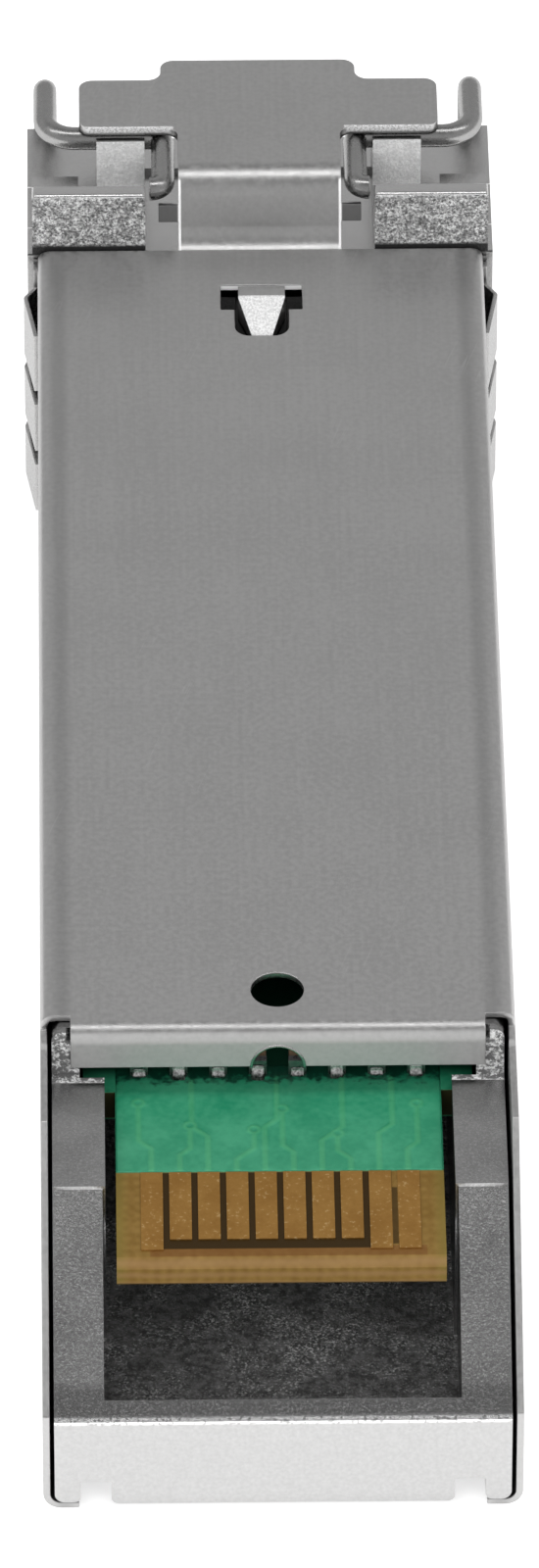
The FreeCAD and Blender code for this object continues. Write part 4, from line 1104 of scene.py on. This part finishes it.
backing = film.modifiers.new("backing", "SOLIDIFY")
backing.thickness = BACKING * MM
backing.offset = -1.0
show(film, "housing", "board", finish=GREEN_FILM)
print("film points", copper.size, "share over copper", round(float(copper.mean()), 2))

# %% [markdown]
# Solder at the chips
#
# Each tinned end is wetted to its pad by a small hollow wedge of solder. A ball pressed into the
# corner would bulge, and wetted solder is hollow. So its outline, a quarter of a hollow curve, is
# carried across the chip and drawn to a point at both sides.

# %% Add the solder wedges
WEDGE_WIDE, WEDGE_REACH, WEDGE_RISE, WEDGE_UNDER = 0.46, 0.24, 0.34, 0.05
WEDGE_ROWS, WEDGE_STEPS, TALLEST = 9, 8, 1.1   # TALLEST is the most that a wedge's rise may grow
CHIPS, CHIP_WIDE = 8, 0.5
SOLDER_SIZES = np.array([0.75, 1.5, 0.9, 1.7, 0.8, 1.4, 0.7, 1.0])


def wedge_loop():
    """Closed outline (out, up): up a hollow quarter curve to the chip's end, then down under the chip."""
    angle = np.linspace(0, np.pi / 2, WEDGE_STEPS)
    out, up = WEDGE_REACH * (1 - np.sin(angle)), WEDGE_RISE * (1 - np.cos(angle))
    return np.append(out, -WEDGE_UNDER), np.append(up, 0.0)


def solder_wedges(places, end, sign):
    """Grids of wedges: the outline times a profile sqrt(1 - s^6) that falls to nothing at both sides; no two
    joints take the same amount of solder, so each place has its own size."""
    share = np.linspace(-1, 1, WEDGE_ROWS)
    size = np.sqrt(np.clip(1 - share ** 6, 0.0, 1.0))[:, None]
    grow = SOLDER_SIZES[:, None, None]
    loop_out, loop_up = wedge_loop()
    out, up = grow * size * loop_out, np.minimum(grow, TALLEST) * size * loop_up
    side = np.broadcast_to((places[:, None] + share * WEDGE_WIDE / 2)[..., None], out.shape)
    return np.stack([side * MM, ahead(end + sign * out), BOARD_TOP_Z + up * MM], axis=-1)


chip_low, chip_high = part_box("capacitors")
row_wide = (chip_high[0] - chip_low[0]) / MM
chip_places = (np.arange(CHIPS) - (CHIPS - 1) / 2) * (row_wide - CHIP_WIDE) / (CHIPS - 1)
rear_end, front_end = ((box[1] - SHOULDER_Y) / MM for box in (chip_low, chip_high))
wedges = np.concatenate([solder_wedges(chip_places, rear_end, -1), solder_wedges(chip_places, front_end, 1)])
solder = closed_piece("chip_solder", wedges)
show(solder, "housing", "gold", finish=SOLDER)
print("solder wedges", len(wedges))

# %% [markdown]
# The other solids
#
# Parts that are right as they are keep their own mesh and only take a finish. Copies of them would
# add faces and show nothing more.

# %% Finish the remaining solids
for node, solid in frame["nodes"].items():
    if not solid.hide_render:
        solid.data.materials.clear()
        solid.data.materials.append(FINISH[SLOT_OF[node]])
print("solids shown as they are:", sum(not o.hide_render for o in frame["nodes"].values()))

# %% [markdown]
# Floor
#
# The object lies on white. The floor shines a little by itself for the camera and for reflections,
# so that it is white and the metal mirrors white, while a soft shadow still falls on it. A brighter
# lamp would do the first, but wash the metal out.

# %% Lay the floor
FLOOR_REACH, FLOOR_TONE, FLOOR_SHINE = 3.0, 0.85, 0.56


def floor_material():
    """Matte white; what the camera and mirrors see of it also shines by itself."""
    material = bpy.data.materials.new("white_floor")
    material.use_nodes = True
    tree = material.node_tree
    tree.nodes.clear()
    ray = add(tree, "LightPath").outputs
    seen = math_node(tree, "MAXIMUM", ray["Is Camera Ray"], ray["Is Glossy Ray"], ray["Is Transmission Ray"])
    paint = add(tree, "BsdfDiffuse", Color=grey(FLOOR_TONE)).outputs[0]
    shine = add(tree, "Emission", Color=grey(1.0), Strength=FLOOR_SHINE).outputs[0]
    both, pick = add(tree, "AddShader"), add(tree, "MixShader")
    for socket, value in zip((*both.inputs, *pick.inputs), (paint, shine, seen, paint, both.outputs[0])):
        feed(tree, socket, value)
    add(tree, "OutputMaterial", Surface=pick.outputs[0])
    return material


side = np.linspace(-FLOOR_REACH, FLOOR_REACH, 2)
flat = np.stack([*np.meshgrid(side, side), np.zeros((2, 2))], axis=-1)
floor = new_piece("floor", grid_mesh("floor", flat))
floor.data.materials.append(floor_material())
print("floor is", 2 * FLOOR_REACH, "m wide")

# %% [markdown]
# Light
#
# The light is even. Lamps alone would leave metal black, because it shows what stands around it. So
# the surroundings are a plain grey, darker overhead, which is what the upper faces mirror. A soft
# lamp behind the camera fills the shadows and is hidden from reflections; a long strip overhead is
# not, so it draws the bright lines along the bends.

# %% Set the light
SURROUND, OVERHEAD = 0.54, 0.25      # light from the sides, and from straight above
HIGH_UP = (0.55, 0.98)               # heights in the sky between which one passes into the other


def softbox(name, place, aim, size, watts):
    """A rectangular lamp of a size and a power, turned from its place to an aim."""
    lamp = bpy.data.lights.new(name, "AREA")
    lamp.shape = "RECTANGLE"
    lamp.size, lamp.size_y = size
    lamp.energy = watts
    box = bpy.data.objects.new(name, lamp)
    scene.collection.objects.link(box)
    box.location = place
    box.rotation_mode = "QUATERNION"
    box.rotation_quaternion = (Vector(aim) - Vector(place)).to_track_quat("-Z", "Y")
    return box


world = bpy.data.worlds.new("grey_surround")
scene.world = world
world.use_nodes = True
sky = world.node_tree
up = add(sky, "SeparateXYZ", Vector=add(sky, "TexCoord").outputs["Generated"]).outputs["Z"]
surround = ranged(sky, up, *HIGH_UP, SURROUND, OVERHEAD)
camera_ray = add(sky, "LightPath").outputs["Is Camera Ray"]
finish_with(sky, sky.nodes["Background"], Color=grey(1.0),
            Strength=math_node(sky, "MAXIMUM", surround, camera_ray))
fill = softbox("soft_behind_camera", (-0.06, -0.47, 0.38), (0, 0, 0), (1.0, 0.62), 2.9)
fill.visible_glossy = False      # it fills shadows; only the strip shows in the metal
softbox("strip_overhead", (0, 0.0, 0.5), (0, 0.0005, 0), (1.0, 0.1), 1.05)
print("lamps:", [lamp.name for lamp in bpy.data.lights])
